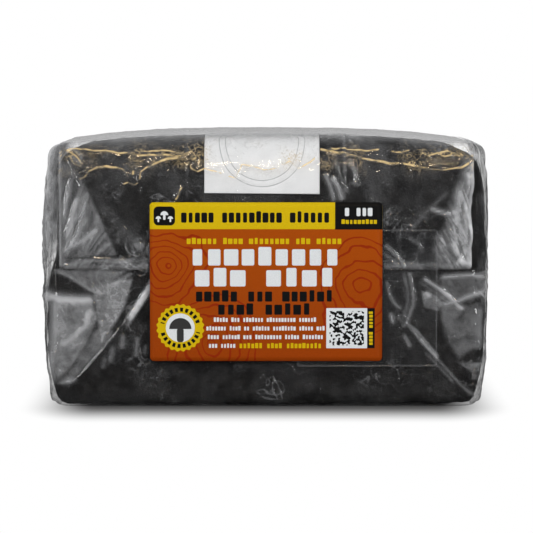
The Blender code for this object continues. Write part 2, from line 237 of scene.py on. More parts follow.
@dataclass
class BagForm:
    """The filled bag's form: a crowned box with rounded edges, and the sheets laid on it."""

    half_x: float = 0.1025
    half_y: float = 0.0630
    half_z: float = 0.0624
    radius: float = 0.0090
    foot: float = 0.0008
    fold: float = 0.0677
    middle_y: float = 0.0
    side_crown: float = 0.0064
    shoulders: tuple[int, int] = (7, 10)
    front_crown: float = 0.0030
    top_crown: float = 0.0058
    edge_fill: float = 0.0030
    top_fills: tuple[float, float] = (0.0036, 0.0050)
    foot_fill: float = 0.0030

    def half(self) -> Array:
        """Half sizes along X, Y and Z."""
        return np.array([self.half_x, self.half_y, self.half_z])

    def flat(self) -> Array:
        """Half sizes of the flat part of each face."""
        return self.half() - self.radius

    def middle_z(self) -> float:
        """Height of the form's middle."""
        return self.half_z + self.foot

    def fold_rise(self) -> float:
        """How far the gusset's fold is above the middle."""
        return self.fold - self.middle_z()

    def place(self, inner: Array, normal: Array, lift: Array, across: Array | None = None) -> Array:
        """Put points on the form.

        Args:
            inner: Centres of the edge rounding.
            normal: Directions outwards.
            lift: Height above the block's own surface.
            across: The true X of each point where a sheet runs past the form.

        Returns:
            Rows of x, y and z in metres.
        """
        base = inner + normal * self.radius
        if across is not None:
            base[:, 0] = across
        share = np.abs(base / self.half())
        wide, deep, tall = share[:, 0], share[:, 1], share[:, 2]
        bulge = np.zeros_like(base)
        right, upper = base[:, 0] > 0, base[:, 2] > 0
        sides = np.where(right, drop(tall, self.shoulders[1]), drop(tall, self.shoulders[0]))
        sides = np.where(upper, sides, drop(tall, 5))
        bulge[:, 0] = self.side_crown * normal[:, 0] * drop(deep, 7) * sides
        bulge[:, 1] = self.front_crown * normal[:, 1] * drop(wide, 4) * drop(tall, 4)
        bulge[:, 2] = self.top_crown * np.maximum(0, normal[:, 2]) * drop(wide, 3) * drop(deep, 8)
        edge = self.edge_fill * (2 * normal[:, 0] * normal[:, 1]) ** 2
        bulge[:, :2] += edge[:, None] * normal[:, :2]
        fill = np.where(right, self.top_fills[1], self.top_fills[0])
        fill = np.where(normal[:, 2] > 0, fill, self.foot_fill)
        ends = fill * (2 * normal[:, 0] * normal[:, 2]) ** 2
        bulge[:, 0] += ends * normal[:, 0]
        bulge[:, 2] += ends * normal[:, 2]
        foot = self.foot_fill * (2 * normal[:, 1] * np.minimum(normal[:, 2], 0)) ** 2
        bulge[:, 1] += foot * normal[:, 1]
        bulge[:, 2] += foot * normal[:, 2]
        shift = np.array([0, self.middle_y, self.middle_z()])
        placed = base + bulge + normal * lift[:, None] + shift
        placed[:, 2] = np.maximum(placed[:, 2], 0)
        return placed

    def wrap(self, points: Array) -> tuple[Array, Array]:
        """Find the rounding's centres for points on the plain box.

        Args:
            points: Rows of x, y and z from the box's middle.

        Returns:
            The centres, and the directions outwards.
        """
        inner = np.clip(points, -self.flat(), self.flat())
        away = points - inner
        return inner, away / np.linalg.norm(away, axis=1)[:, None]

    def arc(self) -> float:
        """Length of a quarter turn round an edge."""
        return self.radius * math.pi / 2

    def ends(self) -> list[float]:
        """Where the front, top edge, top, back edge and back end, going up from the fold.

        Returns:
            Metres along a sheet laid up from the fold.
        """
        flat = self.flat()
        rise = self.fold_rise()
        spans = (flat[2] - rise, self.arc(), 2 * flat[1], self.arc(), flat[2] - rise)
        return list(np.cumsum(spans))

    def lay(self, across: Array, along: Array) -> tuple[Array, Array]:
        """Lay a sheet up the front and over.

        Args:
            across: Metres across the bag.
            along: Metres along the sheet, from the fold.

        Returns:
            The rounding's centres, and the directions outwards.
        """
        front, top, behind, back, _ = self.ends()
        flat = self.flat()
        angle = np.clip((along - front) / self.radius, 0, math.pi / 2)
        angle = angle + np.clip((along - behind) / self.radius, 0, math.pi / 2)
        inner = np.empty((len(across), 3))
        inner[:, 0] = np.clip(across, -flat[0], flat[0])
        inner[:, 1] = -flat[1] + np.clip(along - top, 0, 2 * flat[1])
        inner[:, 2] = np.minimum(along + self.fold_rise(), flat[2]) - np.maximum(along - back, 0)
        normal = np.stack([np.zeros(len(across)), -np.cos(angle), np.sin(angle)], axis=1)
        return inner, normal


def drop(share: Array, power: int) -> Array:
    """A broad crown: 1 in the middle of a face, 0 at its edge."""
    return np.maximum(0, 1 - share**power)


def in_scene(name: str, data: bpy.types.ID) -> bpy.types.Object:
    """Put a new object with this data in the scene.

    Args:
        name: Its name.
        data: Its mesh, light or camera.

    Returns:
        The new object.
    """
    made = bpy.data.objects.new(name, data)
    bpy.context.scene.collection.objects.link(made)
    return made


def grid_mesh(name: str, points: Array, faces: Array) -> bpy.types.Object:
    """Make a smooth object of points and faces and put it in the scene.

    Args:
        name: The piece's name.
        points: Rows of x, y and z in metres.
        faces: Rows of four indices.

    Returns:
        The new object.
    """
    mesh = bpy.data.meshes.new(name)
    mesh.from_pydata(points.tolist(), [], faces.tolist())
    mesh.update()
    mesh.shade_smooth()
    return in_scene(name, mesh)


def store(piece: bpy.types.Object, name: str, values: Array) -> None:
    """Keep a value for each point of the piece, for its material to read."""
    layer = piece.data.attributes.new(name, "FLOAT", "POINT")
    layer.data.foreach_set("value", values.astype(np.float32))


def dress(piece: bpy.types.Object, material: bpy.types.Material) -> None:
    """Give a piece its material and slot, and let it ride on the bag's body.

    Args:
        piece: The piece.
        material: Its material.
    """
    piece.data.materials.append(material)
    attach(piece, BODY)


def arithmetic(kind: str, swapped: bool = False) -> Callable[..., "Value"]:
    """Make a method that adds a math node of this kind.

    Args:
        kind: The node's operation.
        swapped: Whether the other number comes first.

    Returns:
        The method.
    """

    def method(value: "Value", other: object = 0.0) -> "Value":
        """Work the value out with the other number."""
        first, second = (other, value) if swapped else (value, other)
        return value.nodes.math(kind, first, second)

    return method


@dataclass(frozen=True, eq=False)
class Value:
    """One output of a node, with arithmetic that adds the math nodes for it."""

    nodes: "Nodes"
    socket: bpy.types.NodeSocket

    __add__ = __radd__ = arithmetic("ADD")
    __sub__ = arithmetic("SUBTRACT")
    __rsub__ = arithmetic("SUBTRACT", swapped=True)
    __mul__ = __rmul__ = arithmetic("MULTIPLY")
    __truediv__ = arithmetic("DIVIDE")
    __rtruediv__ = arithmetic("DIVIDE", swapped=True)
    __pow__ = arithmetic("POWER")
    __gt__ = arithmetic("GREATER_THAN")
    __lt__ = arithmetic("LESS_THAN")
    __abs__ = arithmetic("ABSOLUTE")
    most = arithmetic("MAXIMUM")
    least = arithmetic("MINIMUM")
    turn_from = arithmetic("ARCTAN2")
    root = arithmetic("SQRT")
    sine = arithmetic("SINE")
    cosine = arithmetic("COSINE")
    floor = arithmetic("FLOOR")
    sign = arithmetic("SIGN")

    def out(self, name: int | str) -> "Value":
        """Another output of the same node."""
        return Value(self.nodes, self.socket.node.outputs[name])


class Nodes:
    """Short ways to write a tree of nodes."""

    def __init__(self, tree: bpy.types.NodeTree) -> None:
        """Start with an empty tree."""
        self.tree = tree
        tree.nodes.clear()

    def feed(self, socket: bpy.types.NodeSocket, value: object) -> None:
        """Link a value into a socket, or set the socket's number or colour.

        Args:
            socket: The socket.
            value: A value, a number or a colour.
        """
        if isinstance(value, Value):
            self.tree.links.new(value.socket, socket)
        else:
            socket.default_value = (*value, 1) if socket.type == "RGBA" else value

    def make(self, kind: str, inputs: dict | None = None, out: int | str = 0, **settings: object) -> Value:
        """Add a node.

        Args:
            kind: Its type.
            inputs: What goes into its inputs, by number or name.
            out: The output to give.
            settings: Its other settings.

        Returns:
            One of its outputs.
        """
        node = self.tree.nodes.new(kind)
        for name, setting in settings.items():
            setattr(node, name, setting)
        for name, value in (inputs or {}).items():
            if value is not None:
                self.feed(node.inputs[name], value)
        return Value(self, node.outputs[out])

    def end(self, kind: str, value: Value) -> None:
        """Finish the tree with an output node of this kind."""
        self.feed(self.tree.nodes.new(kind).inputs[0], value)

    def math(self, kind: str, first: object, second: object = 0.0, clamp: bool = False) -> Value:
        """A math node's result."""
        return self.make("ShaderNodeMath", {0: first, 1: second}, operation=kind, use_clamp=clamp)

    def highest(self, values: Iterable[Value]) -> Value:
        """The highest of some values and 0."""
        return reduce(lambda total, value: self.math("MAXIMUM", total, value), values, 0.0)

    def span(
        self, value: Value, low: float, high: float, to: tuple[float, float] = (0.0, 1.0), even: bool = False
    ) -> Value:
        """Map a range of values onto another.

        Args:
            value: What is mapped.
            low: The end of the range that maps to the first of "to".
            high: The end that maps to the second.
            to: The two results.
            even: Whether the change is even, not smooth at its ends.

        Returns:
            The mapped value.
        """
        inputs = {"Value": value, "From Min": low, "From Max": high, "To Min": to[0], "To Max": to[1]}
        kind = "LINEAR" if even else "SMOOTHSTEP"
        return self.make("ShaderNodeMapRange", inputs, interpolation_type=kind)

    def blend(self, share: Value, first: object, second: object) -> Value:
        """Mix two colours."""
        return self.make("ShaderNodeMix", {0: share, 6: first, 7: second}, 2, data_type="RGBA")

    def mix(self, share: Value, first: object, second: object) -> Value:
        """Mix two numbers."""
        return self.make("ShaderNodeMix", {0: share, 2: first, 3: second})

    def split(self, vector: Value) -> list[Value]:
        """The three parts of a vector."""
        first = self.make("ShaderNodeSeparateXYZ", {0: vector})
        return [first.out(axis) for axis in range(3)]

    def join(self, *parts: Value) -> Value:
        """A vector of up to three parts."""
        return self.make("ShaderNodeCombineXYZ", dict(enumerate(parts)))


class Shader(Nodes):
    """A node material, and short ways to write its nodes."""

    def __init__(self, name: str) -> None:
        """Start an empty material.

        Args:
            name: The material's name.
        """
        self.material = bpy.data.materials.new(name)
        self.material.use_nodes = True
        super().__init__(self.material.node_tree)

    def surface(self, shader: Value) -> bpy.types.Material:
        """Use this shader as the surface."""
        self.end("ShaderNodeOutputMaterial", shader)
        return self.material

    def place(self) -> Value:
        """Object coordinates."""
        return self.make("ShaderNodeTexCoord", out="Object")

    def flat(self, unit: float) -> list[Value]:
        """Across and along on a sheet laid flat, in this unit."""
        parts = self.split(self.make("ShaderNodeUVMap", uv_map="flat"))
        return [part * (1 / (FLAT_SCALE * unit)) for part in parts[:2]]

    def value(self, name: str) -> Value:
        """A value kept on the mesh."""
        return self.make("ShaderNodeAttribute", out="Fac", attribute_name=name)

    def noise(
        self,
        scale: float,
        detail: float = 3.0,
        rough: float = 0.5,
        warp: float = 0.0,
        spot: Value | None = None,
    ) -> Value:
        """Noise in the object's own space, or at another spot.

        Args:
            scale: Cells a metre.
            detail: Octaves.
            rough: Share of each next octave.
            warp: How far it is distorted.
            spot: Where it is read, if not at the object's coordinates.

        Returns:
            A value from 0 to 1.
        """
        inputs = {"Vector": spot or self.place(), "Scale": scale, "Detail": detail}
        return self.make("ShaderNodeTexNoise", inputs | {"Roughness": rough, "Distortion": warp})

    def creases(self, scale: float, detail: float, rough: float, warp: float) -> Value:
        """How far the noise is from its middle, which is 0 on winding lines."""
        return abs(self.noise(scale, detail, rough, warp) - 0.5)

    def dots(self, scale: float) -> Value:
        """Small round dots, one in each cell."""
        inputs = {"Vector": self.place(), "Scale": scale}
        return self.span(self.make("ShaderNodeTexVoronoi", inputs, "Distance", feature="F1"), 0.16, 0.06)

    def bump(self, height: Value, strength: float, depth: float, below: Value | None = None) -> Value:
        """A bumped normal, over another one if given."""
        inputs = {"Strength": strength, "Distance": depth, "Height": height, "Normal": below}
        return self.make("ShaderNodeBump", inputs)

    def cover(self, share: Value, below: Value, above: Value) -> Value:
        """Mix two shaders."""
        return self.make("ShaderNodeMixShader", {0: share, 1: below, 2: above})

    def solid(self, colour: object, rough: float, normal: Value | None = None, shine: float = 0.5) -> Value:
        """A solid surface of this colour, roughness, normal and shine."""
        inputs = {"Base Color": colour, "Roughness": rough, "Specular IOR Level": shine, "Normal": normal}
        return self.make("ShaderNodeBsdfPrincipled", inputs)

    def facing(self, normal: Value | None = None) -> Value:
        """How much the surface is seen at a slant, from 0 to 1."""
        return self.make("ShaderNodeLayerWeight", {"Blend": 0.5, "Normal": normal}, "Facing")

    def slanted(self, haze: Value) -> Value:
        """Deepen a thin sheet's haze where it is seen at a slant, as its path grows.

        Args:
            haze: The haze seen straight on.

        Returns:
            The deepened haze.
        """
        straight = (1.0 - self.facing()).most(0.09)
        clear = (1.0 - haze).most(0.01)
        return 1.0 - clear ** (1.0 / straight)

    def sheet(
        self,
        fog: Value,
        milk: Value,
        clear: float,
        rough: float,
        normal: Value | None = None,
        cling: object = 0.0,
    ) -> bpy.types.Material:
        """Make a clear sheet with a gloss that is stronger at a slant, alike from both sides.

        Args:
            fog: How milky the sheet is.
            milk: The shader of its milky share.
            clear: The share of light that the rest lets through.
            rough: The gloss's roughness.
            normal: A bumped normal, if any.
            cling: How closely another sheet lies on this one, which takes its gloss away.

        Returns:
            The material.
        """
        body = self.cover(fog, self.make("ShaderNodeBsdfTransparent", {"Color": (clear,) * 3}), milk)
        gloss = self.make("ShaderNodeBsdfGlossy", {"Roughness": rough, "Normal": normal})
        share = self.math("ADD", self.facing(normal) ** 5.0 * 0.957, 0.043, True)
        return self.surface(self.cover(share * self.math("SUBTRACT", 1.0, cling), body, gloss))


@dataclass(frozen=True)
class ClearFilm:
    """Clear, slightly milky polypropylene film."""

    name: str = "clear film"
    milk: tuple[float, float, float] = (0.62, 0.625, 0.64)
    # Colour of the painted glints: warm milk that stands in for the warm lamp's reflection in the creases.
    warm: tuple[float, float, float] = (0.86, 0.64, 0.32)
    touching: float = 0.004
    hanging: float = 0.020
    shine: float = 0.07
    fan_x: float = 0.120
    fan_z: float = 0.026
    cross_z: float = 0.0655

    def build(self) -> bpy.types.Material:
        """Clear where it is tight, milky where it hangs, glossy all over, with painted warm glints along the
        bend.

        Returns:
            The material.
        """
        nodes = Shader(self.name)
        fine = nodes.span(nodes.noise(360.0, 5.0, 0.65), 0.34, 0.66, (0.78, 1.18))
        lively = 1.0 - nodes.value("calm")
        fold, plies = self.gussets(nodes)
        web = (self.web(nodes) * lively).most(fold)
        haze = nodes.span(nodes.noise(42.0, 8.0, 0.70, 0.6), 0.44, 0.62, (self.touching, self.hanging))
        glints = self.glints(nodes)
        fog = nodes.value("veil") * (self.clouds(nodes) * fine) + nodes.value("streak")
        fog = fog + (haze + plies * haze) + web * 0.14 + self.specks(nodes) * lively * 0.28 + glints
        ripple = nodes.bump(nodes.noise(130.0, 3.0, 0.5, 0.4), 0.35, 0.0012)
        lines = nodes.bump(web, 0.5, 0.0005, ripple)
        normal = nodes.bump(nodes.noise(1100.0, 2.0), 0.10, 0.0003, lines)
        # The milk turns warm along the painted glints.
        tone = nodes.blend(nodes.math("MULTIPLY", glints, 4.0, True), self.milk, self.warm)
        milk = nodes.solid(tone, 0.5, shine=0.0)
        fog = nodes.slanted(fog.least(0.97))
        return nodes.sheet(fog, milk, 0.995, self.shine, normal, nodes.value("cling"))

    def clouds(self, nodes: Shader) -> Value:
        """Blotches of haze, drawn into a fan from the neck's folded corners where "fan" is 1.

        Args:
            nodes: The film's material.

        Returns:
            A factor for the haze.
        """
        spread = nodes.span(nodes.noise(88.0, 8.0, 0.66, 0.9), 0.34, 0.66, (-1.0, 1.0))
        swing = nodes.value("blotch") * 0.30 + 0.35 - nodes.value("calm") * 0.70
        broad = spread * swing.most(0.08) + 0.9
        x, _, z = nodes.split(nodes.place())
        inwards, up = self.fan_x - abs(x), z - self.fan_z
        away = (inwards**2.0 + up**2.0).root()
        polar = nodes.join(up.turn_from(inwards) * 20.0, away * 40.0, x.sign())
        drawn = nodes.span(nodes.noise(1.0, 4.0, 0.6, 0.9, polar), 0.36, 0.68, (0.42, 1.7))
        return nodes.mix(nodes.value("fan"), broad, drawn * broad**0.5)

    def web(self, nodes: Shader) -> Value:
        """Fine crease lines, in places.

        Args:
            nodes: The film's material.

        Returns:
            1 on the lines, 0 between them.
        """
        return nodes.highest(
            nodes.span(nodes.creases(scale, 3.0, 0.55, 1.4), width, 0.0, (0.0, strength))
            * nodes.span(nodes.noise(scale * 0.54, 2.0), spread, spread + 0.12)
            for scale, width, spread, strength in ((48.0, 0.016, 0.50, 1.0), (125.0, 0.020, 0.53, 0.5))
        )

    def glints(self, nodes: Shader) -> Value:
        """Painted glints: sharp crease lines along the bend, and a fine net of wrinkles between them, drawn
        as milk that stands in for a warm lamp's reflection.

        Args:
            nodes: The film's material.

        Returns:
            How strongly the glints are painted.
        """
        line = nodes.span(nodes.value("glint"), 0.50, 0.98)
        line = line * nodes.span(nodes.noise(200.0, 4.0, 0.6), 0.36, 0.60, (0.20, 0.68))
        net = nodes.span(nodes.creases(150.0, 4.0, 0.6, 2.2), 0.030, 0.0)
        net = net * nodes.span(nodes.noise(60.0, 2.0), 0.42, 0.60)
        return line.most(net * nodes.value("bend") * 0.42)

    def gussets(self, nodes: Shader) -> tuple[Value, Value]:
        """The side panels' folds, an envelope's cross and a level line, and their doubled film.

        Args:
            nodes: The film's material.

        Returns:
            The folds' lines, and how much more film there is.
        """
        _, y, z = nodes.split(nodes.place())
        sway = (nodes.noise(22.0, 2.0) - 0.5) * 0.006
        above = z - self.cross_z
        away = abs(y) - abs(above)
        folds = nodes.highest(
            nodes.span(abs(gap + sway), 0.0009, 0.0, (0.0, strength))
            for gap, strength in ((away, 1.0), (above, 0.7))
        )
        doubled = nodes.span(away + sway, 0.0004, -0.0004, (0.0, 3.0))
        side = nodes.value("side")
        return folds * side, doubled * side

    def specks(self, nodes: Shader) -> Value:
        """Glints of dust and dents, in places."""
        return nodes.dots(380.0) * nodes.span(nodes.noise(75.0, 3.0), 0.56, 0.66)


@dataclass(frozen=True)
class MoistSubstrate:
    """Nearly black pressed substrate with lighter fibres and specks."""

    name: str = "moist substrate"
    dark: tuple[float, float, float] = (0.006, 0.006, 0.0063)
    light: tuple[float, float, float] = (0.019, 0.0185, 0.0185)
    speck: tuple[float, float, float] = (0.075, 0.080, 0.088)

    def build(self) -> bpy.types.Material:
        """Mottled crumb, damp enough to shine a little.

        Returns:
            The material.
        """
        nodes = Shader(self.name)
        mottle = nodes.span(nodes.noise(110.0, 6.0, 0.65), 0.35, 0.7)
        specks = nodes.dots(330.0) * nodes.span(nodes.noise(60.0, 2.0), 0.55, 0.65)
        colour = nodes.blend(specks, nodes.blend(mottle, self.dark, self.light), self.speck)
        normal = nodes.bump(nodes.noise(420.0, 6.0, 0.7), 0.6, 0.0012)
        return nodes.surface(nodes.solid(colour, 0.62, normal, shine=0.10))


@dataclass(frozen=True)
class FilterFleece:
    """White microporous filter material."""

    middle: tuple[float, float]
    rings: tuple[float, ...]
    name: str = "filter fleece"
    line: float = 0.00030
    white: tuple[float, float, float] = (0.80, 0.805, 0.81)
    weld: tuple[float, float, float] = (0.34, 0.35, 0.36)

    def welds(self, nodes: Shader) -> Value:
        """Where the rings are welded, on the patch laid flat.

        Args:
            nodes: The fleece's material.

        Returns:
            1 on the welds, 0 elsewhere.
        """
        across, along = (part - middle for part, middle in zip(nodes.flat(1.0), self.middle))
        away = (across**2.0 + along**2.0).root()
        edge = self.line, self.line * 0.3
        rings = nodes.highest(nodes.span(abs(away - ring), *edge) for ring in self.rings)
        return rings * nodes.span(nodes.noise(160.0, 2.0), 0.3, 0.6, (0.55, 1.0))

    def build(self) -> bpy.types.Material:
        """Matt white with fibres, greyer where the ring is welded.

        Returns:
            The material.
        """
        nodes = Shader(self.name)
        cloud = nodes.span(nodes.noise(140.0, 4.0), 0.3, 0.7, (0.94, 1.0))
        channels = {channel: cloud * share for channel, share in enumerate(self.white)}
        tone = nodes.make("ShaderNodeCombineColor", channels)
        normal = nodes.bump(nodes.noise(1500.0, 3.0), 0.15, 0.0002)
        return nodes.surface(nodes.solid(nodes.blend(self.welds(nodes), tone, self.weld), 0.6, normal))


@dataclass(frozen=True)
class ClearSticker:
    """A clear sticker, seen mostly by its edges."""

    name: str = "clear sticker"
    milk: tuple[float, float, float] = (0.6, 0.61, 0.63)

    def build(self) -> bpy.types.Material:
        """Almost clear gloss, a little milky at the cut edge.

        Returns:
            The material.
        """
        nodes = Shader(self.name)
        fog = nodes.span(nodes.noise(200.0, 3.0), 0.3, 0.7, (0.003, 0.009)) + nodes.value("edge") * 0.07
        return nodes.sheet(fog, nodes.solid(self.milk, 0.3), 0.98, 0.15)


class Ink(Enum):
    """The label's printing inks, as linear colours."""

    YELLOW = (0.58, 0.40, 0.002)
    ORANGE = (0.345, 0.060, 0.0005)
    DEEP_ORANGE = (0.285, 0.043, 0.0005)
    RED = (0.25, 0.017, 0.0005)
    BLACK = (0.006, 0.006, 0.006)
    GREY = (0.035, 0.035, 0.035)
    WHITE = (0.66, 0.68, 0.69)


@dataclass(frozen=True)
class Row:
    """A printed row of small blocks in groups, in millimetres from the label's middle."""

    left: float
    right: float
    y: float
    height: float
    groups: tuple[int, ...]
    seed: float
    corner: float = 0.2

    def count(self) -> int:
        """How many blocks and gaps the row has."""
        return sum(self.groups) + len(self.groups) - 1

    def gaps(self) -> list[float]:
        """The numbers of the places left empty between the groups."""
        return [float(end - 1) for end in np.cumsum([size + 1 for size in self.groups[:-1]])]


class PrintedLabel:
    """The label's generic print: bands, rows of blocks, contour lines, a badge and a mosaic square.

    All its places and sizes are in millimetres from the label's middle.
    """

    top = 38.65
    header = 13.0
    soft = 0.07

    def __init__(self) -> None:
        """Start with the bare orange ground."""
        self.nodes = Shader("printed label")
        self.x, self.y = self.nodes.flat(MM)
        height = self.nodes.span(self.y, -self.top, self.top)
        self.colour = self.nodes.blend(height, Ink.DEEP_ORANGE.value, Ink.ORANGE.value)

    def rows(self) -> dict[Ink, list[Row]]:
        """Rows of blocks where the real label has its lines of text.

        Returns:
            The rows of each ink.
        """
        top = self.top
        return {
            Ink.BLACK: [
                Row(-41.5, 31.0, top - 7.4, 4.9, (5, 9, 6), 3, 0.7),
                Row(-34.6, 32.8, top - 45.8, 4.9, (5, 3, 6), 5, 0.5),
                Row(-24.0, 22.0, top - 52.2, 4.9, (4, 5), 11, 0.5),
            ],
            Ink.YELLOW: [
                Row(-38.8, 36.8, top - 18.9, 2.6, (6, 4, 8, 3, 5), 7, 0.25),
                Row(-13.2, 27.0, top - 69.9, 2.2, (6, 4, 9), 21),
                Row(36.4, 53.9, top - 9.5, 1.9, (9,), 2),
            ],
            Ink.WHITE: [
                Row(-37.4, 36.2, top - 26.7, 7.9, (9,), 4, 0.8),
                Row(-35.4, 34.0, top - 36.9, 7.9, (3, 4), 13, 0.8),
                Row(-25.6, 24.4, top - 57.2, 1.9, (5, 3, 7, 10, 6), 31),
                Row(-29.2, 28.6, top - 61.4, 1.9, (7, 4, 2, 6, 8, 5, 3), 32),
                Row(-28.6, 27.8, top - 65.6, 1.9, (4, 6, 3, 9, 5, 7), 33),
                Row(-28.0, -14.8, top - 69.9, 1.9, (3, 5), 34),
                Row(37.8, 51.8, top - 4.7, 4.0, (1, 3), 9, 0.6),
            ],
        }

    def build(self) -> bpy.types.Material:
        """Print the label with shapes worked out from its own coordinates.

        Returns:
            The material.
        """
        nodes = self.nodes
        self.ink(self.contours(), Ink.RED)
        self.ink(self.bar(0, self.top - self.header / 2, 140, self.header, 0), Ink.YELLOW)
        self.ink(self.bar(44.9, self.top - self.header / 2, 23.0, self.header + 0.4, 0), Ink.BLACK)
        for ink, rows in self.rows().items():
            self.ink(nodes.highest(self.printed_row(row) for row in rows), ink)
        self.emblem(-49.3, self.top - 6.6)
        self.badge(-41.7, -22.4)
        self.tiles(39.2, -22.6)
        grain = nodes.span(nodes.noise(2600.0, 2.0), 0.3, 0.7, (0.93, 1.05))
        tone = nodes.make("ShaderNodeVectorMath", {0: self.colour, "Scale": grain}, operation="SCALE")
        normal = nodes.bump(nodes.noise(700.0, 3.0), 0.05, 0.0003)
        return nodes.surface(nodes.solid(tone, 0.5, normal, shine=0.08))

    def ink(self, where: Value, ink: Ink) -> None:
        """Print this ink where the value is 1."""
        self.colour = self.nodes.blend(where, self.colour, ink.value)

    def printed_row(self, row: Row, upright: bool = False) -> Value:
        """Where a row of blocks is printed: each block's width, and each gap, by its number.

        Args:
            row: The row.
            upright: Whether it runs up the label.

        Returns:
            1 on its blocks, 0 elsewhere.
        """
        x, y = (self.y, self.x * -1.0) if upright else (self.x, self.y)
        pitch = (row.right - row.left) / row.count()
        along = (x - row.left) / pitch
        number = along.floor()
        chance = [
            self.nodes.make("ShaderNodeTexWhiteNoise", {"W": number + seed}, "Value", noise_dimensions="1D")
            for seed in (row.seed, row.seed + 0.37)
        ]
        rise = (chance[1] > 0.72) * (row.height * 0.07)
        half_width = chance[0] * (pitch * 0.16) + pitch * 0.28
        middle = (along - number - 0.5) * pitch, y - row.y - rise
        blocks = self.block(*middle, half_width, rise + row.height / 2, row.corner)
        shown = (along > 0.0) * (along < float(row.count()))
        for gap in row.gaps():
            shown = shown * (abs(number - gap) > 0.5)
        return blocks * shown

    def block_group(self) -> bpy.types.NodeTree:
        """A node group that gives 1 inside a rounded block and 0 outside it.

        Returns:
            The group, made at the first call.
        """
        name = "printed block"
        if name in bpy.data.node_groups:
            return bpy.data.node_groups[name]
        tree = bpy.data.node_groups.new(name, "ShaderNodeTree")
        for title in BLOCK_INPUTS:
            tree.interface.new_socket(title, in_out="INPUT", socket_type="NodeSocketFloat")
        tree.interface.new_socket("Inside", in_out="OUTPUT", socket_type="NodeSocketFloat")
        nodes = Nodes(tree)
        inputs = [nodes.make("NodeGroupInput", out=title) for title in BLOCK_INPUTS]
        x, y, half_width, half_height, corner = inputs
        sides = abs(x) - (half_width - corner), abs(y) - (half_height - corner)
        squares = sides[0].most(0.0) ** 2.0 + sides[1].most(0.0) ** 2.0
        gap = squares.root() + sides[0].most(sides[1]).least(0.0) - corner
        nodes.end("NodeGroupOutput", nodes.span(gap, self.soft, -self.soft, even=True))
        return tree

    def block(self, *measures: object) -> Value:
        """A rounded block from its middle, half sizes and corner."""
        inputs = dict(zip(BLOCK_INPUTS, measures))
        return self.nodes.make("ShaderNodeGroup", inputs, node_tree=self.block_group())

    def bar(self, x: float, y: float, width: float, height: float, corner: float) -> Value:
        """Where one rounded block with this middle and size is printed."""
        return self.block(self.x - x, self.y - y, width / 2, height / 2, corner)

    def distance(self, x: float, y: float) -> Value:
        """Distance from a point of the label."""
        return ((self.x - x) ** 2.0 + (self.y - y) ** 2.0).root()

    def contours(self) -> Value:
        """Wavering contour lines spreading from three points, as a ground behind the print.

        Returns:
            How much ink they carry.
        """
        sway = (self.nodes.noise(34.0) - 0.5) * 26.0
        lines = []
        for x, y, reach in ((-47.0, 8.0, 19.0), (45.0, -2.0, 23.0), (-26.0, -30.0, 25.0)):
            gap = self.distance(x, y) + sway
            line = self.nodes.span((gap * (2 * math.pi / 4.2)).sine(), 0.72, 0.90)
            lines.append(line * self.nodes.span(gap, reach, reach - 0.6))
        return self.nodes.highest(lines) * 0.9

    def cap(self, x: float, y: float, size: float) -> Value:
        """A plain round cap on a stem, as a flat shape.

        Args:
            x: The middle of the cap's lower edge, across the label.
            y: The same, up the label.
            size: The cap's radius.

        Returns:
            1 inside the shape, 0 outside it.
        """
        disc = self.nodes.span(self.distance(x, y), size + self.soft, size - self.soft)
        above = self.nodes.span(self.y - y, -self.soft, self.soft)
        stem = self.bar(x, y - size * 0.55, size * 0.62, size * 1.3, size * 0.25)
        return (disc * above).most(stem)

    def emblem(self, x: float, y: float) -> None:
        """A plain black tile with three white caps at the left of the header.

        Args:
            x: Its middle, across the label.
            y: The same, up the label.
        """
        self.ink(self.bar(x, y, 10.4, 9.2, 2.2), Ink.BLACK)
        for aside, up, size in ((-2.9, -1.4, 1.3), (0.0, 0.4, 1.9), (2.9, -1.4, 1.3)):
            self.ink(self.cap(x + aside, y + up, size), Ink.WHITE)

    def badge(self, x: float, y: float) -> None:
        """A scalloped disc with a ring of marks and a plain cap.

        Args:
            x: Its middle, across the label.
            y: The same, up the label.
        """
        span, gap = self.nodes.span, self.distance(x, y)
        turn = (self.y - y).turn_from(self.x - x)
        self.ink(span(gap + (turn * 24.0).cosine() * 0.35, 11.4, 11.25), Ink.YELLOW)
        band = span(abs(gap - 8.9), 1.05, 0.95) * span((turn * 2.0).cosine(), 0.90, 0.88)
        self.ink(band * span((turn * 22.0).sine(), -0.35, -0.15), Ink.BLACK)
        self.ink(span(gap, 7.1, 6.95), Ink.WHITE)
        self.ink(self.cap(x, y - 0.6, 5.4), Ink.GREY)

    def tiles(self, x: float, y: float) -> None:
        """A white square filled with a mosaic of uneven stones, and a black strip beside it.

        Args:
            x: Its middle, across the label.
            y: The same, up the label.
        """
        self.ink(self.bar(x, y, 19.9, 19.6, 0.3), Ink.WHITE)
        stones = self.nodes.make(
            "ShaderNodeTexVoronoi",
            {"Vector": self.nodes.join(self.x, self.y), "Scale": 1 / 0.95},
            "Color",
            voronoi_dimensions="2D",
            feature="F1",
        )
        black = self.nodes.make("ShaderNodeSeparateColor", {0: stones}) > 0.5
        self.ink(black * self.bar(x, y, 16.8, 16.8, 0.2), Ink.BLACK)
        self.ink(self.bar(x + 11.8, y, 3.6, 19.6, 0.2), Ink.BLACK)
        marks = Row(y - 8.4, y + 8.4, -x - 11.8, 1.7, (4, 5), 5)
        self.ink(self.printed_row(marks, upright=True), Ink.YELLOW)


@dataclass
class Layers:
    """Heights of the pieces above the block's own surface, as packed."""

    pouch: float = 0.0008
    patch: float = 0.0011
    neck: float = 0.0028
    tab: float = 0.0034
    label: float = 0.0039


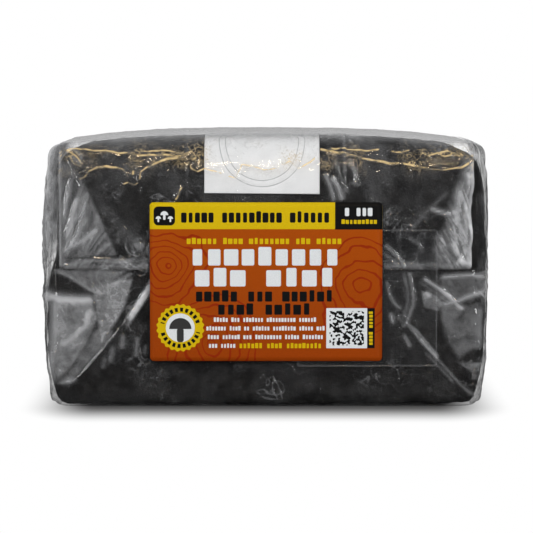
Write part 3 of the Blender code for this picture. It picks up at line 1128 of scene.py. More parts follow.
@dataclass
class Block:
    """The brick of substrate."""

    form: BagForm
    half_x: float = 0.1010
    side_crown: float = 0.0015
    foot_fill: float = 0.0022
    cell: float = 0.0024
    lump: float = 0.0011
    bulges: tuple[float, float] = (0.0066, 0.0068)

    def build(self) -> bpy.types.Object:
        """Make the block with its lumps and pits.

        Returns:
            The new object.
        """
        body = BagForm(
            half_x=self.half_x,
            middle_y=self.form.middle_y,
            side_crown=self.side_crown,
            edge_fill=0.0,
            top_fills=(0.0, 0.0),
            foot_fill=self.foot_fill,
        )
        lines = [edge_lines(flat, body.radius, self.cell) for flat in body.flat()]
        points, faces = box_grid(body, lines)
        inner, normal = body.wrap(points)
        noise = Noise(5)
        spots = (inner + normal * body.radius) / MM
        rough = noise.layered(spots / 9.0, 4) - 0.5 + 0.5 * (noise.layered(spots / 3.0, 3) - 0.5)
        lift = np.minimum(rough * 2 * self.lump - self.lump * 0.6, 0.0002)
        swell = 0.85 + 0.15 * noise.smooth(spots / 30.0 + 4.0)
        height = spots[:, 2] * MM / body.half_z
        left = self.bulges[0] * ramp(-normal[:, 0], 0.2, 0.8) * (1 - 0.9 * ramp(height, -0.15, 0.30))
        right = self.bulges[1] * ramp(normal[:, 0], 0.2, 0.8)
        lift += (left + right) * swell * drop(np.abs(height), 5)
        lift = np.where(normal[:, 2] < -0.9, np.minimum(lift, 0), lift)
        piece = grid_mesh("substrate", body.place(inner, normal, lift), faces)
        dress(piece, MoistSubstrate().build())
        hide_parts("substrate_block")
        return piece


def edge_lines(flat: float, radius: float, cell: float, split: float = 1e9, coarse: float = 0) -> Array:
    """Lines across a box's face, even on its flat and round its edges.

    Args:
        flat: Half the flat part.
        radius: Radius of the edges.
        cell: Length of a cell.
        split: Where coarser cells start, if any do.
        coarse: Length of the coarser cells.

    Returns:
        Where the lines cross the face, from its middle.
    """
    turns = max(2, round(radius * math.pi / 4 / cell))
    edge = flat + radius * np.tan(np.linspace(0, math.pi / 4, turns + 1)[1:])
    fine_end = min(flat, split)
    flats = np.linspace(-flat, fine_end, max(3, round((flat + fine_end) / cell)))
    if fine_end < flat:
        rest = np.linspace(fine_end, flat, max(3, round((flat - fine_end) / coarse)))
        flats = np.concatenate([flats, rest[1:]])
    return np.concatenate([-edge[::-1], flats, edge])


def box_grid(form: BagForm, lines: list[Array]) -> tuple[Array, Array]:
    """A closed grid on the form's plain box.

    Args:
        form: The form.
        lines: Where the grid's lines cross X, Y and Z, from the middle.

    Returns:
        The points, centred on the box, and the faces.
    """
    points, faces, start = [], [], 0
    for axis in range(3):
        first, second = (axis + 1) % 3, (axis + 2) % 3
        for side in (-1, 1):
            a, b = np.meshgrid(lines[first], lines[second], indexing="ij")
            spots = np.empty((a.size, 3))
            spots[:, first] = a.ravel()
            spots[:, second] = b.ravel()
            spots[:, axis] = side * form.half()[axis]
            quads = quad_rows(len(lines[first]), len(lines[second])) + start
            faces.append(quads if side > 0 else quads[:, ::-1])
            points.append(spots)
            start += len(spots)
    spots = np.concatenate(points)
    cells = np.round(spots / 1e-7).astype(np.int64)
    _, keep, number = np.unique(cells, axis=0, return_index=True, return_inverse=True)
    return spots[keep], number.ravel()[np.concatenate(faces)]


def quad_rows(rows: int, columns: int) -> Array:
    """Faces of a grid of points.

    Args:
        rows: Its rows.
        columns: Its columns.

    Returns:
        Rows of four indices.
    """
    index = np.arange(rows * columns).reshape(rows, columns)
    corners = (index[:-1, :-1], index[1:, :-1], index[1:, 1:], index[:-1, 1:])
    return np.stack([c.ravel() for c in corners], axis=1)


# The film's creases, traced from the photo: points of (across, up) from the fold's middle in
# millimetres, then the crest's height and half width in millimetres, its milkiness and its fade.
LEFT_CORNER = (
    Crease(
        ((-104.9, -9.5), (-101.5, -13.2), (-97.6, -14.6), (-90.3, -15.1), (-83.0, -15.0)),
        1.2, 1.8, 0.62, 3,
    ),
    Crease(((-99.5, -0.5), (-92.0, -6.0), (-85.0, -10.5), (-79.0, -12.5)), 0.9, 0.8, 0.25, 2),
    Crease(((-84.0, -12.0), (-80.0, -8.6), (-70.8, -5.0), (-64.0, -1.5)), 0.8, 1.1, 0.24, 3),
    Crease(
        ((-56.8, -8.8), (-61.6, -15.6), (-69.6, -28.2), (-80.5, -41.4), (-90.9, -53.5), (-98.5, -60.3)),
        1.2, 0.9,
    ),
    Crease(((-55.8, -7.0), (-60.4, -14.2), (-68.6, -26.6)), 0.6, 0.9, 0.5, 6),
    Crease(((-85.0, -18.5), (-88.0, -28.2), (-93.8, -33.1), (-98.6, -38.4)), 0.8, 1.2, 0.34, 3),
    Crease(((-99.3, -14.0), (-99.5, -40.0), (-101.0, -59.5)), 0.7, 0.8, 0.30, 3),
    Crease(((-99.5, -56.4), (-91.7, -53.5)), 0.4, 0.8, 0.25, 2),
    Crease(((-69.3, -31.1), (-70.3, -39.9)), 0.3, 1.2, 0.18, 2),
    Crease(((-62.5, -32.1), (-63.4, -43.8)), 0.3, 1.1, 0.18, 2),
    Crease(((-58.2, -36.0), (-59.1, -42.8)), 0.3, 0.9, 0.12, 2),
    Crease(((-74.2, -37.0), (-76.2, -46.7)), 0.3, 1.2, 0.16, 2),
    Crease(((-78.1, -42.0), (-80.0, -49.6)), 0.3, 1.0, 0.12, 2),
)
RIGHT_CORNER = (
    Crease(((69.7, -0.5), (71.6, -9.7), (72.1, -16.5), (68.7, -25.8), (66.5, -29.0)), 0.9, 0.8, 0.30, 2),
    Crease(((67.0, -1.0), (68.9, -9.7), (69.3, -16.5), (66.5, -24.8)), 0.7, 0.8, 0.16, 2),
    Crease(((58.5, -4.9), (60.5, -12.7), (63.0, -17.0), (66.8, -20.0)), 0.8, 0.8, 0.28, 2),
    Crease(((60.5, -20.4), (62.4, -27.3)), 0.8, 0.9, 0.40, 2),
    Crease(((62.9, -22.4), (68.2, -26.3), (83.7, -43.8), (100.1, -62.5)), 0.6, 0.7, 0.14, 3),
    Crease(((66.8, -31.1), (71.1, -38.9)), 0.6, 0.9, 0.30, 2),
    Crease(((77.1, -39.9), (92.7, -56.4)), 0.5, 0.7, 0.12, 3),
    Crease(
        ((84.0, -4.2), (98.0, -2.9), (102.9, -4.9), (101.5, -10.7), (94.2, -15.6), (84.7, -17.5)),
        1.0, 1.1, 0.36, 3,
    ),
    Crease(((76.0, -3.9), (84.7, -9.7), (90.0, -14.0), (96.3, -20.4)), 1.0, 0.9, 0.50, 2),
    Crease(((74.0, -5.5), (83.0, -11.5), (90.0, -18.0)), 0.5, 0.7, 0.14, 2),
    Crease(((77.5, -10.8), (80.2, -14.0)), 0.5, 1.6, 0.50, 1),
    Crease(((101.9, -47.0), (103.5, -53.5), (106.3, -61.8)), 0.8, 0.9, 0.12, 2),
    Crease(((99.8, -18.0), (99.9, -40.0)), 0.6, 0.9, 0.14, 3),
)


@dataclass
class Pouch:
    """The film round the block, with its folded corners below the fold."""

    form: BagForm
    layers: Layers
    cell_across: float = 0.0008
    cell_up: float = 0.0007
    coarse_cell: float = 0.0026
    fine_past_fold: float = 0.002
    slack_crumple: float = 0.0016
    tight_crumple: float = 0.0003
    side_milk: tuple[float, float] = (0.42, 0.0)
    back_milk: float = 0.07
    pleat_height: float = 0.0008
    pleat_milk: float = 0.40
    relief: float = 0.55
    creases: tuple[Crease, ...] = LEFT_CORNER + RIGHT_CORNER
    veils: tuple[Veil, ...] = (
        Veil(((-98.8, -0.3), (-84.2, -10.9), (-67.2, -0.3)), 0.20, 1.0),
        Veil(
            ((-83.9, -12.7), (-80.0, -8.8), (-70.8, -5.4), (-65.0, -4.9), (-68.9, -18.5), (-80.0, -37.0)),
            0.32, 0.8,
        ),
        Veil(((-99.0, -15.0), (-84.4, -15.5), (-82.0, -24.0), (-88.3, -38.0), (-99.0, -53.5)), 0.30, 1.0),
        Veil(((-56.4, -5.5), (-56.4, -11.7), (-67.5, -28.4), (-66.0, -22.0)), 0.50, 0.6),
        Veil(((-82.0, -26.0), (-74.0, -32.0), (-96.0, -57.0), (-99.0, -53.0), (-90.0, -40.0)), 0.16, 1.5),
        Veil(((84.9, -4.9), (101.9, -3.9), (100.5, -12.2), (92.2, -16.0), (84.9, -14.6)), 0.13, 2.4),
        Veil(((76.0, -10.7), (83.0, -12.7), (86.6, -16.5), (83.9, -20.4), (77.1, -18.5)), 0.22, 0.6),
        Veil(((84.7, -17.5), (99.7, -17.5), (99.7, -38.0), (94.4, -43.8), (87.6, -33.0)), 0.135, 1.6),
        Veil(((93.9, -45.7), (102.1, -46.2), (98.3, -50.1)), 0.18, 0.6),
        Veil(((69.0, -26.5), (73.0, -28.5), (84.0, -41.5), (84.0, -44.5), (76.0, -36.5)), 0.26, 0.6),
    )

    def build(self, film: bpy.types.Material) -> bpy.types.Object:
        """Make the pouch and lay its wrinkles.

        Args:
            film: The film's material.

        Returns:
            The new object.
        """
        flat, radius = self.form.flat(), self.form.radius
        fine_end = self.form.fold_rise() + self.fine_past_fold
        lines = [
            edge_lines(flat[0], radius, self.cell_across),
            edge_lines(flat[1], radius, self.coarse_cell),
            edge_lines(flat[2], radius, self.cell_up, fine_end, self.coarse_cell),
        ]
        points, faces = box_grid(self.form, lines)
        inner, normal = self.form.wrap(points)
        base = inner + normal * radius
        across, up = base[:, 0] / MM, (base[:, 2] - self.form.fold_rise()) / MM
        lower = ramp(-normal[:, 1], 0.3, 0.7) * ramp(-up, -2.0, 1.0)
        lift = np.full(len(points), self.layers.pouch)
        veil, streak = np.zeros(len(points)), np.zeros(len(points))
        for crease in self.creases:
            crest = lower * crease.shape(across, up)
            lift += self.relief * crease.height * MM * crest
            # The crease's milk: the film's whitening, and a painted highlight along the crest.
            streak = np.maximum(streak, crease.milk * crest)
        for place in self.veils:
            veil = np.maximum(veil, lower * place.cover(across, up))
        spots = base / MM
        sides, back = ramp(np.abs(normal[:, 0]), 0.35, 0.8), ramp(normal[:, 1], 0.5, 0.9)
        loose = np.maximum(sides, 0.6 * back) * (1 - 0.5 * ramp(spots[:, 2], 36, 52))
        noise = Noise(11)
        crumple = noise.ridged(spots / np.array([17.0, 23.0, 19.0]), 4.0, 3)
        lift += (loose * self.slack_crumple + (1 - loose) * self.tight_crumple) * crumple
        pleats = self.pleats(normal, spots)
        lift += self.pleat_height * pleats
        streak = np.maximum(streak, self.pleat_milk * pleats**4)
        left = self.side_milk[0] * ramp(spots[:, 2], 6, 24)
        milk = sides * np.where(spots[:, 0] > 0, self.side_milk[1], left)
        milk = np.maximum(milk, self.back_milk * back)
        veil = np.maximum(veil, milk * (0.5 + 0.5 * ramp(crumple, 0.05, 0.6)))
        lift = np.where(normal[:, 2] < -0.6, self.layers.pouch, lift)
        piece = grid_mesh("film_pouch", self.form.place(inner, normal, lift), faces)
        store(piece, "veil", veil)
        store(piece, "streak", streak)
        store(piece, "cling", self.cling(across, up, normal))
        store(piece, "side", ramp(np.abs(normal[:, 0]), 0.5, 0.9))
        dress(piece, film)
        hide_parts("bag_film")
        return piece

    def pleats(self, normal: Array, spots: Array) -> Array:
        """Upright pleats where the front turns into the sides.

        Args:
            normal: Directions outwards.
            spots: Places in millimetres from the block's middle.

        Returns:
            0 between the pleats and away from them, 1 on their crests.
        """
        turn = 9.0 * np.arctan2(np.abs(normal[:, 0]), -normal[:, 1])
        flow = np.stack([turn / 2.2, spots[:, 0] / 40.0, spots[:, 2] / 26.0], axis=1)
        edge = ramp(np.abs(normal[:, 0]), 0.5, 0.8) * ramp(-normal[:, 1], -0.3, 0.0)
        return Noise(43).ridged(flow, 5.0, 2) * edge * (1 - ramp(np.abs(spots[:, 2]), 50, 58))

    def cling(self, across: Array, up: Array, normal: Array) -> Array:
        """How closely the neck lies on the pouch: on the front above the fold, and on the top.

        Args:
            across: Millimetres across the bag.
            up: Millimetres up from the fold.
            normal: Directions outwards.

        Returns:
            A value from 0 to 0.9 for each point.
        """
        front = ramp(-normal[:, 1], 0.0, 0.2) * ramp(up, -1.0, 1.0)
        covered = np.maximum(front, ramp(normal[:, 2], 0.0, 0.2))
        return 0.9 * covered * ramp(100.5 - np.abs(across), 0, 1)


NECK_LEFT = (
    Crease(((-99.9, 57.0), (-99.8, 0.5)), 0.3, 0.7, 0.30, 2),
    Crease(((-98.5, 57.4), (-93.0, 55.8), (-89.3, 53.5), (-90.3, 51.0), (-95.1, 54.0)), 0.9, 0.7, 0.20, 2),
    Crease(((-98.5, 57.4), (-94.0, 51.5), (-88.8, 43.8), (-80.0, 22.0), (-72.3, 6.3)), 0.7, 0.9, 0.05),
    Crease(((-90.3, 37.5), (-94.5, 24.0), (-97.5, 12.0)), 0.5, 1.6, 0.30, 6),
    Crease(((-80.5, 20.9), (-88.0, 14.5), (-97.5, 9.7)), 0.6, 1.3, 0.30, 4),
    Crease(((-94.5, 45.0), (-96.5, 34.0), (-98.6, 21.9)), 0.4, 1.1, 0.22, 5),
    Crease(((-85.4, 27.5), (-91.5, 17.0), (-98.5, 6.5)), 0.4, 1.2, 0.26, 5),
    Crease(((-86.4, 35.0), (-90.0, 24.0), (-93.5, 11.0)), 0.3, 0.9, 0.16, 5),
    Crease(((-85.4, 38.9), (-72.0, 24.0), (-57.7, 9.7)), 0.3, 2.2, 0.035),
    Crease(((-93.7, 7.2), (-75.0, 6.9), (-56.8, 7.3)), -0.6, 0.9),
    Crease(((-99.5, 0.6), (-92.0, 3.2), (-83.0, 4.4), (-66.0, 4.0)), 0.6, 0.8, 0.16, 3),
    Crease(((-99.5, 0.8), (-80.0, 1.2), (-57.0, 1.0)), 0.5, 0.9, 0.10, 3),
)
NECK_RIGHT = (
    Crease(((99.8, 53.0), (99.9, 1.0)), 0.4, 0.9, 0.42, 3),
    Crease(((94.6, 45.0), (94.2, 32.0), (93.4, 21.0)), 0.4, 1.8, 0.20, 6),
    Crease(((97.4, 50.0), (97.8, 30.0), (97.2, 8.0)), 0.4, 1.2, 0.26, 6),
    Crease(((90.5, 16.0), (92.0, 9.0), (97.0, 3.5)), 0.4, 1.5, 0.18, 4),
    Crease(((78.9, 30.2), (84.7, 28.2), (91.5, 26.3)), 0.8, 1.0, 0.42, 3),
    Crease(((89.5, 38.9), (78.0, 28.0), (68.2, 16.5)), 0.4, 1.1, 0.09, 4),
    Crease(((68.2, 16.5), (74.0, 12.7), (76.9, 8.8)), 0.5, 0.7, 0.22, 2),
    Crease(((93.0, 4.6), (98.3, 2.9), (101.0, 1.2)), 0.6, 1.4, 0.50, 1),
    Crease(((57.2, 12.6), (61.5, 9.2), (65.4, 4.9), (68.6, 0.5)), 0.9, 0.8, 0.34, 2),
    Crease(((55.8, 9.0), (60.5, 5.6), (66.0, 0.6)), 0.7, 0.8, 0.16, 2),
    Crease(((57.0, 1.6), (78.0, 2.2), (96.0, 1.4)), 0.7, 0.9, 0.10, 3),
    Crease(((66.0, 20.0), (64.0, 13.0)), 0.3, 0.8, 0.08, 2),
)
# Sharp raised lines along the bend, with no milk of their own; the film's material paints warm glints along
# them, standing in for the warm lamp's reflection.
NECK_BEND = (
    Crease(
        (
            (-90.3, 43.8), (-87.3, 45.0), (-84.9, 48.1), (-81.5, 49.7), (-77.1, 49.9),
            (-72.7, 49.4), (-69.3, 48.7), (-67.4, 46.9), (-65.9, 44.4),
        ),
        0.7, 0.75, 0, 1,
    ),
    Crease(
        (
            (-61.6, 42.2), (-60.6, 47.7), (-58.2, 49.1), (-54.3, 50.5),
            (-48.4, 51.9), (-43.6, 52.4), (-37.7, 53.0),
        ),
        0.7, 0.8, 0, 2,
    ),
    Crease(
        ((-36.7, 51.6), (-36.2, 49.3), (-32.8, 47.7), (-29.4, 49.2), (-25.0, 47.7), (-20.0, 45.9)),
        0.6, 0.75, 0, 2,
    ),
    Crease(((-20.0, 45.9), (-14.4, 44.6), (-11.4, 50.5), (-1.2, 48.5), (7.0, 49.7)), 0.6, 0.75, 0, 3),
    Crease(((7.0, 49.7), (11.9, 51.6), (16.8, 48.9), (21.7, 50.9), (26.0, 54.0)), 0.6, 0.75, 0, 3),
    Crease(
        ((26.0, 55.6), (33.8, 54.1), (39.9, 53.6), (47.2, 52.1), (55.7, 51.3), (65.5, 50.9)),
        0.7, 0.75, 0, 1,
    ),
    Crease(
        ((64.5, 51.0), (72.7, 49.9), (80.0, 48.9), (87.3, 48.5), (94.6, 49.2), (98.5, 51.3)),
        0.7, 0.75, 0, 1,
    ),
    Crease(((29.5, 55.2), (38.7, 55.5), (44.0, 55.2), (49.6, 54.8), (57.0, 55.5)), 0.5, 0.6, 0, 3),
    Crease(((60.0, 54.9), (66.0, 54.5), (70.0, 55.5)), 0.5, 0.6, 0, 1),
    Crease(
        ((75.0, 55.0), (79.1, 53.6), (83.5, 54.8), (86.9, 53.6), (90.8, 54.6), (95.0, 53.0)),
        0.5, 0.6, 0, 1,
    ),
    Crease(((83.5, 54.8), (87.8, 55.6), (90.0, 54.2), (86.9, 53.2)), 0.5, 0.6, 0, 1),
    Crease(
        (
            (-98.5, 55.2), (-92.2, 56.1), (-82.5, 55.6), (-72.7, 54.8),
            (-65.0, 54.0), (-58.2, 53.8), (-38.7, 52.7),
        ),
        0.6, 0.65, 0, 2,
    ),
    Crease(((-65.0, 55.2), (-56.2, 55.0), (-46.5, 54.6), (-38.7, 53.6)), 0.5, 0.6, 0, 2),
    Crease(
        (
            (-97.1, 55.2), (-94.2, 54.4), (-90.8, 52.4), (-89.0, 50.1),
            (-90.3, 49.6), (-93.2, 50.9), (-95.6, 53.6),
        ),
        0.6, 0.6, 0, 1,
    ),
    Crease(((-64.5, 55.6), (-64.6, 50.0)), 0.4, 0.5, 0, 2),
    Crease(((-64.2, 49.8), (-64.4, 44.4)), 0.6, 1.1, 0, 2),
    Crease(((-39.8, 53.2), (-36.0, 54.5), (-33.5, 52.4), (-36.7, 51.2)), 0.6, 0.65, 0, 1),
    Crease(((-44.5, 33.5), (-42.0, 36.6), (-39.9, 40.6)), 0.6, 0.8, 0, 1),
    Crease(((-70.0, 41.4), (-67.0, 42.4), (-64.2, 41.0), (-61.5, 42.6)), 0.4, 0.6, 0, 1),
) + tuple(Crease(((x, 50.2), (x + 1.0, 51.4)), 0.3, 0.6, 0, 0.2) for x in np.arange(69.0, 94.0, 2.6))
NECK_UPRIGHT = (
    Crease(((-38.1, 66.0), (-38.1, 33.5)), 0.35, 0.6, 0.05, 2),
    Crease(((38.2, 66.0), (38.2, 33.5)), 0.45, 0.6, 0.10, 2),
    Crease(((40.1, 52.6), (43.0, 48.5), (43.6, 44.5), (43.1, 40.9)), 0.7, 0.9, 0.24, 2),
    Crease(((28.5, 47.7), (31.4, 40.5), (33.5, 32.6)), 0.7, 1.0, 0.32, 2),
    Crease(((31.4, 46.0), (35.3, 39.9), (37.4, 33.0)), 0.8, 1.3, 0.38, 2),
    Crease(((33.6, 52.0), (36.2, 45.0), (40.5, 37.0)), 0.5, 0.7, 0.14, 2),
    Crease(((-45.0, 35.0), (-42.0, 38.0), (-40.0, 41.5)), 0.6, 0.8, 0.10, 1),
)
# Places between the bend's lines where the film bellies out.
NECK_PUFFS = (
    Puff(-78.0, 43.5, 13.0, 8.5, 1.4),
    Puff(-49.0, 46.5, 15.0, 9.0, 1.4),
    Puff(-20.0, 43.0, 10.0, 7.5, 0.9),
    Puff(6.0, 44.5, 15.0, 8.0, 0.9),
    Puff(36.0, 46.5, 15.0, 9.0, 1.3),
    Puff(63.0, 43.5, 13.0, 8.5, 1.3),
    Puff(88.0, 45.5, 9.0, 8.0, 0.9),
)


@dataclass
class Neck:
    """The flattened neck, turned up over the front, across the top and down the back."""

    form: BagForm
    layers: Layers
    half_width: float = 0.1005
    end_above_back_fold: float = 0.020
    seal_height: float = 0.011
    plies: float = 0.0006
    columns: int = 330
    bend_crumple: float = 0.0007
    top_crumple: float = 0.0004
    crinkle_height: float = 0.0005
    rib_height: float = 0.00025
    rib_pitch: float = 2.0
    bend_wave: float = 0.0026
    sway: float = 1.5
    right_wave: float = 0.0032
    least_lift: tuple[float, float] = (0.0017, 0.0023)
    puffs: tuple[Puff, ...] = NECK_PUFFS
    creases: tuple[Crease, ...] = NECK_LEFT + NECK_RIGHT + NECK_UPRIGHT
    glints: tuple[Crease, ...] = NECK_BEND
    veils: tuple[Veil, ...] = (
        Veil(((-99.0, 51.0), (-95.0, 51.0), (-88.3, 41.4), (-72.3, 7.0), (-99.0, 5.5)), 0.155, 1.0),
        Veil(
            ((96.5, 53.0), (99.5, 53.0), (100.5, 2.0), (92.0, 6.0), (88.5, 20.0), (91.5, 34.0)),
            0.30, 3.5,
        ),
        Veil(((97.0, 50.0), (99.5, 50.0), (100.5, 14.0), (95.5, 18.0)), 0.40, 2.5),
        Veil(
            ((82.5, 15.0), (90.0, 22.0), (100.5, 18.0), (100.5, 1.0), (91.0, 0.0), (83.4, 4.9)),
            0.26, 3.0,
        ),
        Veil(((-99.0, 5.5), (-57.0, 5.5), (-57.0, 1.0), (-99.0, 1.0)), 0.14, 1.0),
        Veil(((57.0, 4.0), (99.0, 4.0), (99.0, 0.0), (57.0, 0.0)), 0.10, 1.0),
    )

    def rows(self) -> Array:
        """Stations along the neck, close on the front and at the edges.

        Returns:
            Metres from the fold.
        """
        front, top, behind, back, end = self.form.ends()
        last = end - self.end_above_back_fold
        seal = last - self.seal_height
        parts = [np.arange(0.0, 0.008, 0.0008), np.arange(0.008, 0.040, 0.0012)]
        parts += [np.arange(0.040, top, 0.00045), np.linspace(top, behind, 20)[:-1]]
        parts += [np.linspace(behind, back, 9)[:-1], np.arange(back, seal, 0.0022)]
        parts += [np.arange(seal, last, 0.0007), [last]]
        return np.concatenate(parts)

    def relief(self, across: Array, up: Array) -> tuple[Array, Array, Array]:
        """Lay the creases, crumples and puffs.

        Args:
            across: Millimetres across the bag.
            up: Millimetres up from the fold.

        Returns:
            The neck's height above the block, its streaks' milkiness and its glints.
        """
        start = self.bend_start()
        lift = np.full(len(across), self.layers.neck)
        streak, glint = np.zeros(len(across)), np.zeros(len(across))
        for crease in self.creases:
            crest = crease.shape(across, up)
            lift += crease.height * MM * crest
            # The crease's milk: the film's whitening, and a painted highlight along the crest.
            streak = np.maximum(streak, crease.milk * crest)
        spots = np.stack([across, up, np.zeros(len(across))], axis=1)
        sideways, upwards = ((Noise(seed).layered(spots / 6.0, 2) - 0.5) * self.sway for seed in (37, 38))
        # Raised lines along the bend, where the film's material paints warm glints.
        for crease in self.glints:
            crest = crease.shape(across + sideways, up + upwards)
            lift += crease.height * MM * crest
            glint = np.maximum(glint, crest)
        bend = self.near_bend(up)
        lift += (self.bend_crumple * bend + self.top_crumple * self.over_top(up)) * self.crumple(spots)
        crinkle = Noise(31).ridged(spots / np.array([6.5, 4.5, 5.0]), 3.0, 2)
        lift += self.crinkle_height * bend * crinkle
        for puff in self.puffs:
            lift += puff.shape(across, up) * MM
        wave = Noise(29).layered(spots / np.array([19.0, 11.0, 9.0]), 2) - 0.5
        lift += self.bend_wave * np.exp(-(((up - start - 2.0) / 9.0) ** 2)) * wave
        on_patch = ramp(32 - np.abs(across), 0, 3) * ramp(up, 34, 37)
        lift = np.maximum(lift, self.least_lift[0] + (self.least_lift[1] - self.least_lift[0]) * on_patch)
        return lift, streak, glint

    def bend_start(self) -> float:
        """Where the front turns into the top, in millimetres up from the fold."""
        return self.form.ends()[0] / MM

    def near_bend(self, up: Array) -> Array:
        """1 on the bend, 0 away from it."""
        return np.exp(-(((up - self.bend_start() - 4.0) / 11.0) ** 2))

    def over_top(self, up: Array) -> Array:
        """0 on the front, 1 on the top and the back."""
        return ramp(up, self.bend_start() + 7, self.bend_start() + 14)

    def crumple(self, spots: Array) -> Array:
        """Broad crumples, from 0 to 1, at rows of across, up and 0 in millimetres."""
        return Noise(23).ridged(spots / np.array([15.0, 9.0, 9.0]), 4.0, 3)

    def build(self, film: bpy.types.Material) -> bpy.types.Object:
        """Make the neck as one closed ribbon.

        Args:
            film: The film's material.

        Returns:
            The new object.
        """
        columns = np.linspace(-self.half_width, self.half_width, self.columns)
        rows = self.rows()
        a, s = (g.ravel() for g in np.meshgrid(columns, rows, indexing="ij"))
        across, up = a / MM, s / MM
        lift, streak, glint = self.relief(across, up)
        veil = np.zeros(len(a))
        for place in self.veils:
            veil = np.maximum(veil, place.cover(across, up))
        spots = np.stack([across, up, np.zeros(len(a))], axis=1)
        over_top = self.over_top(up)
        veil = np.maximum(veil, 0.10 * over_top + 0.03 * self.near_bend(up) * self.crumple(spots))
        seal_start = rows[-1] / MM - self.seal_height / MM
        seal = ramp(up, seal_start, seal_start + 1)
        ribs = 0.5 + 0.5 * np.cos(2 * math.pi * up / self.rib_pitch)
        lift += self.rib_height * seal * ribs
        streak = np.maximum(streak, seal * (0.08 + 0.16 * ribs))
        inner, normal = self.form.lay(a, s)
        edge = Noise(41).layered(spots[:, [1, 2, 2]] / 8.0, 2) - 0.5
        a = a + self.right_wave * ramp(across, 70, 100) * edge
        outside = self.form.place(inner, normal, lift, a)
        inside = self.form.place(inner, normal, lift - self.plies, a)
        faces = closed_ribbon(len(columns), len(rows))
        piece = grid_mesh("film_neck", np.concatenate([outside, inside]), faces)
        values = {
            "veil": (veil, 0.15),
            "streak": (streak, 0.0),
            "fan": (ramp(self.bend_start() - up, 0, 6), 1.0),
            "calm": (over_top * 0.7, 1.0),
            # Where the painted glints go: along the glint lines, and as a net near the bend.
            "glint": (glint, 0.0),
            "bend": (np.exp(-(((up - self.bend_start() - 3.5) / 6.0) ** 2)), 0.0),
            "blotch": (ramp(across, -20, 20), 1.0),
        }
        for name, (outer, inner_share) in values.items():
            store(piece, name, np.concatenate([outer, outer * inner_share]))
        store(piece, "cling", np.repeat([0.0, 0.9], len(a)))
        dress(piece, film)
        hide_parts("bag_film")
        return piece


def closed_ribbon(columns: int, rows: int) -> Array:
    """Faces of two grids of points, one under the other, with walls round their edges.

    Args:
        columns: Columns of each grid.
        rows: Points in each column.

    Returns:
        Rows of four indices.
    """
    count = columns * rows
    quads = quad_rows(columns, rows)
    index = np.arange(count).reshape(columns, rows)
    rim = np.concatenate([index[:, 0], index[-1, 1:], index[-2::-1, -1], index[0, -2:0:-1]])
    after = np.roll(rim, -1)
    walls = np.stack([rim, rim + count, after + count, after], axis=1)
    return np.concatenate([quads, quads[:, ::-1] + count, walls])


def laid_piece(
    name: str,
    form: BagForm,
    outline: list[tuple[float, float]],
    cell: float,
    lift: Callable[[Array, Array], Array],
    thickness: float,
) -> bpy.types.Object:
    """Lay a flat outline on the form as a thin closed piece with UVs of its flat shape.

    Args:
        name: The piece's name.
        form: The form it lies on.
        outline: Points of (across, along) in metres, anticlockwise.
        cell: Length of its cells.
        lift: A function from across and along to the height of its underside.
        thickness: Its thickness.

    Returns:
        The new object.
    """
    bm = bmesh.new()
    bm.faces.new([bm.verts.new((x, y, 0)) for x, y in outline])
    for axis in range(2):
        normal = Vector((1 - axis, axis, 0))
        low = min(p[axis] for p in outline)
        high = max(p[axis] for p in outline)
        for line in np.arange(low + cell, high - cell / 4, cell):
            geom = bm.verts[:] + bm.edges[:] + bm.faces[:]
            bmesh.ops.bisect_plane(bm, geom=geom, dist=1e-6, plane_co=normal * line, plane_no=normal)
    flat = np.array([v.co[:2] for v in bm.verts])
    layer = bm.loops.layers.uv.new("flat")
    for face in bm.faces:
        for loop in face.loops:
            loop[layer].uv = loop.vert.co.x * FLAT_SCALE, loop.vert.co.y * FLAT_SCALE
    inner, normal = form.lay(flat[:, 0], flat[:, 1])
    spots = form.place(inner, normal, lift(flat[:, 0], flat[:, 1]), flat[:, 0])
    for vert, spot in zip(bm.verts, spots):
        vert.co = spot
    mesh = bpy.data.meshes.new(name)
    bm.to_mesh(mesh)
    bm.free()
    mesh.shade_smooth()
    piece = in_scene(name, mesh)
    wall = piece.modifiers.new("thickness", "SOLIDIFY")
    wall.thickness = thickness
    wall.offset = 1
    return piece


def rounded(width: float, height: float, corner: float, centre: tuple[float, float]) -> list:
    """Outline of a rectangle with round corners, in metres.

    Args:
        width: Its width.
        height: Its height.
        corner: Radius of its corners.
        centre: Its middle.

    Returns:
        Its points, anticlockwise.
    """
    points = []
    for turn, (sx, sy) in enumerate(((1, 1), (-1, 1), (-1, -1), (1, -1))):
        for step in range(7):
            angle = (turn + step / 6) * math.pi / 2
            x = centre[0] + sx * (width / 2 - corner) + corner * math.cos(angle)
            y = centre[1] + sy * (height / 2 - corner) + corner * math.sin(angle)
            points.append((x, y))
    return points


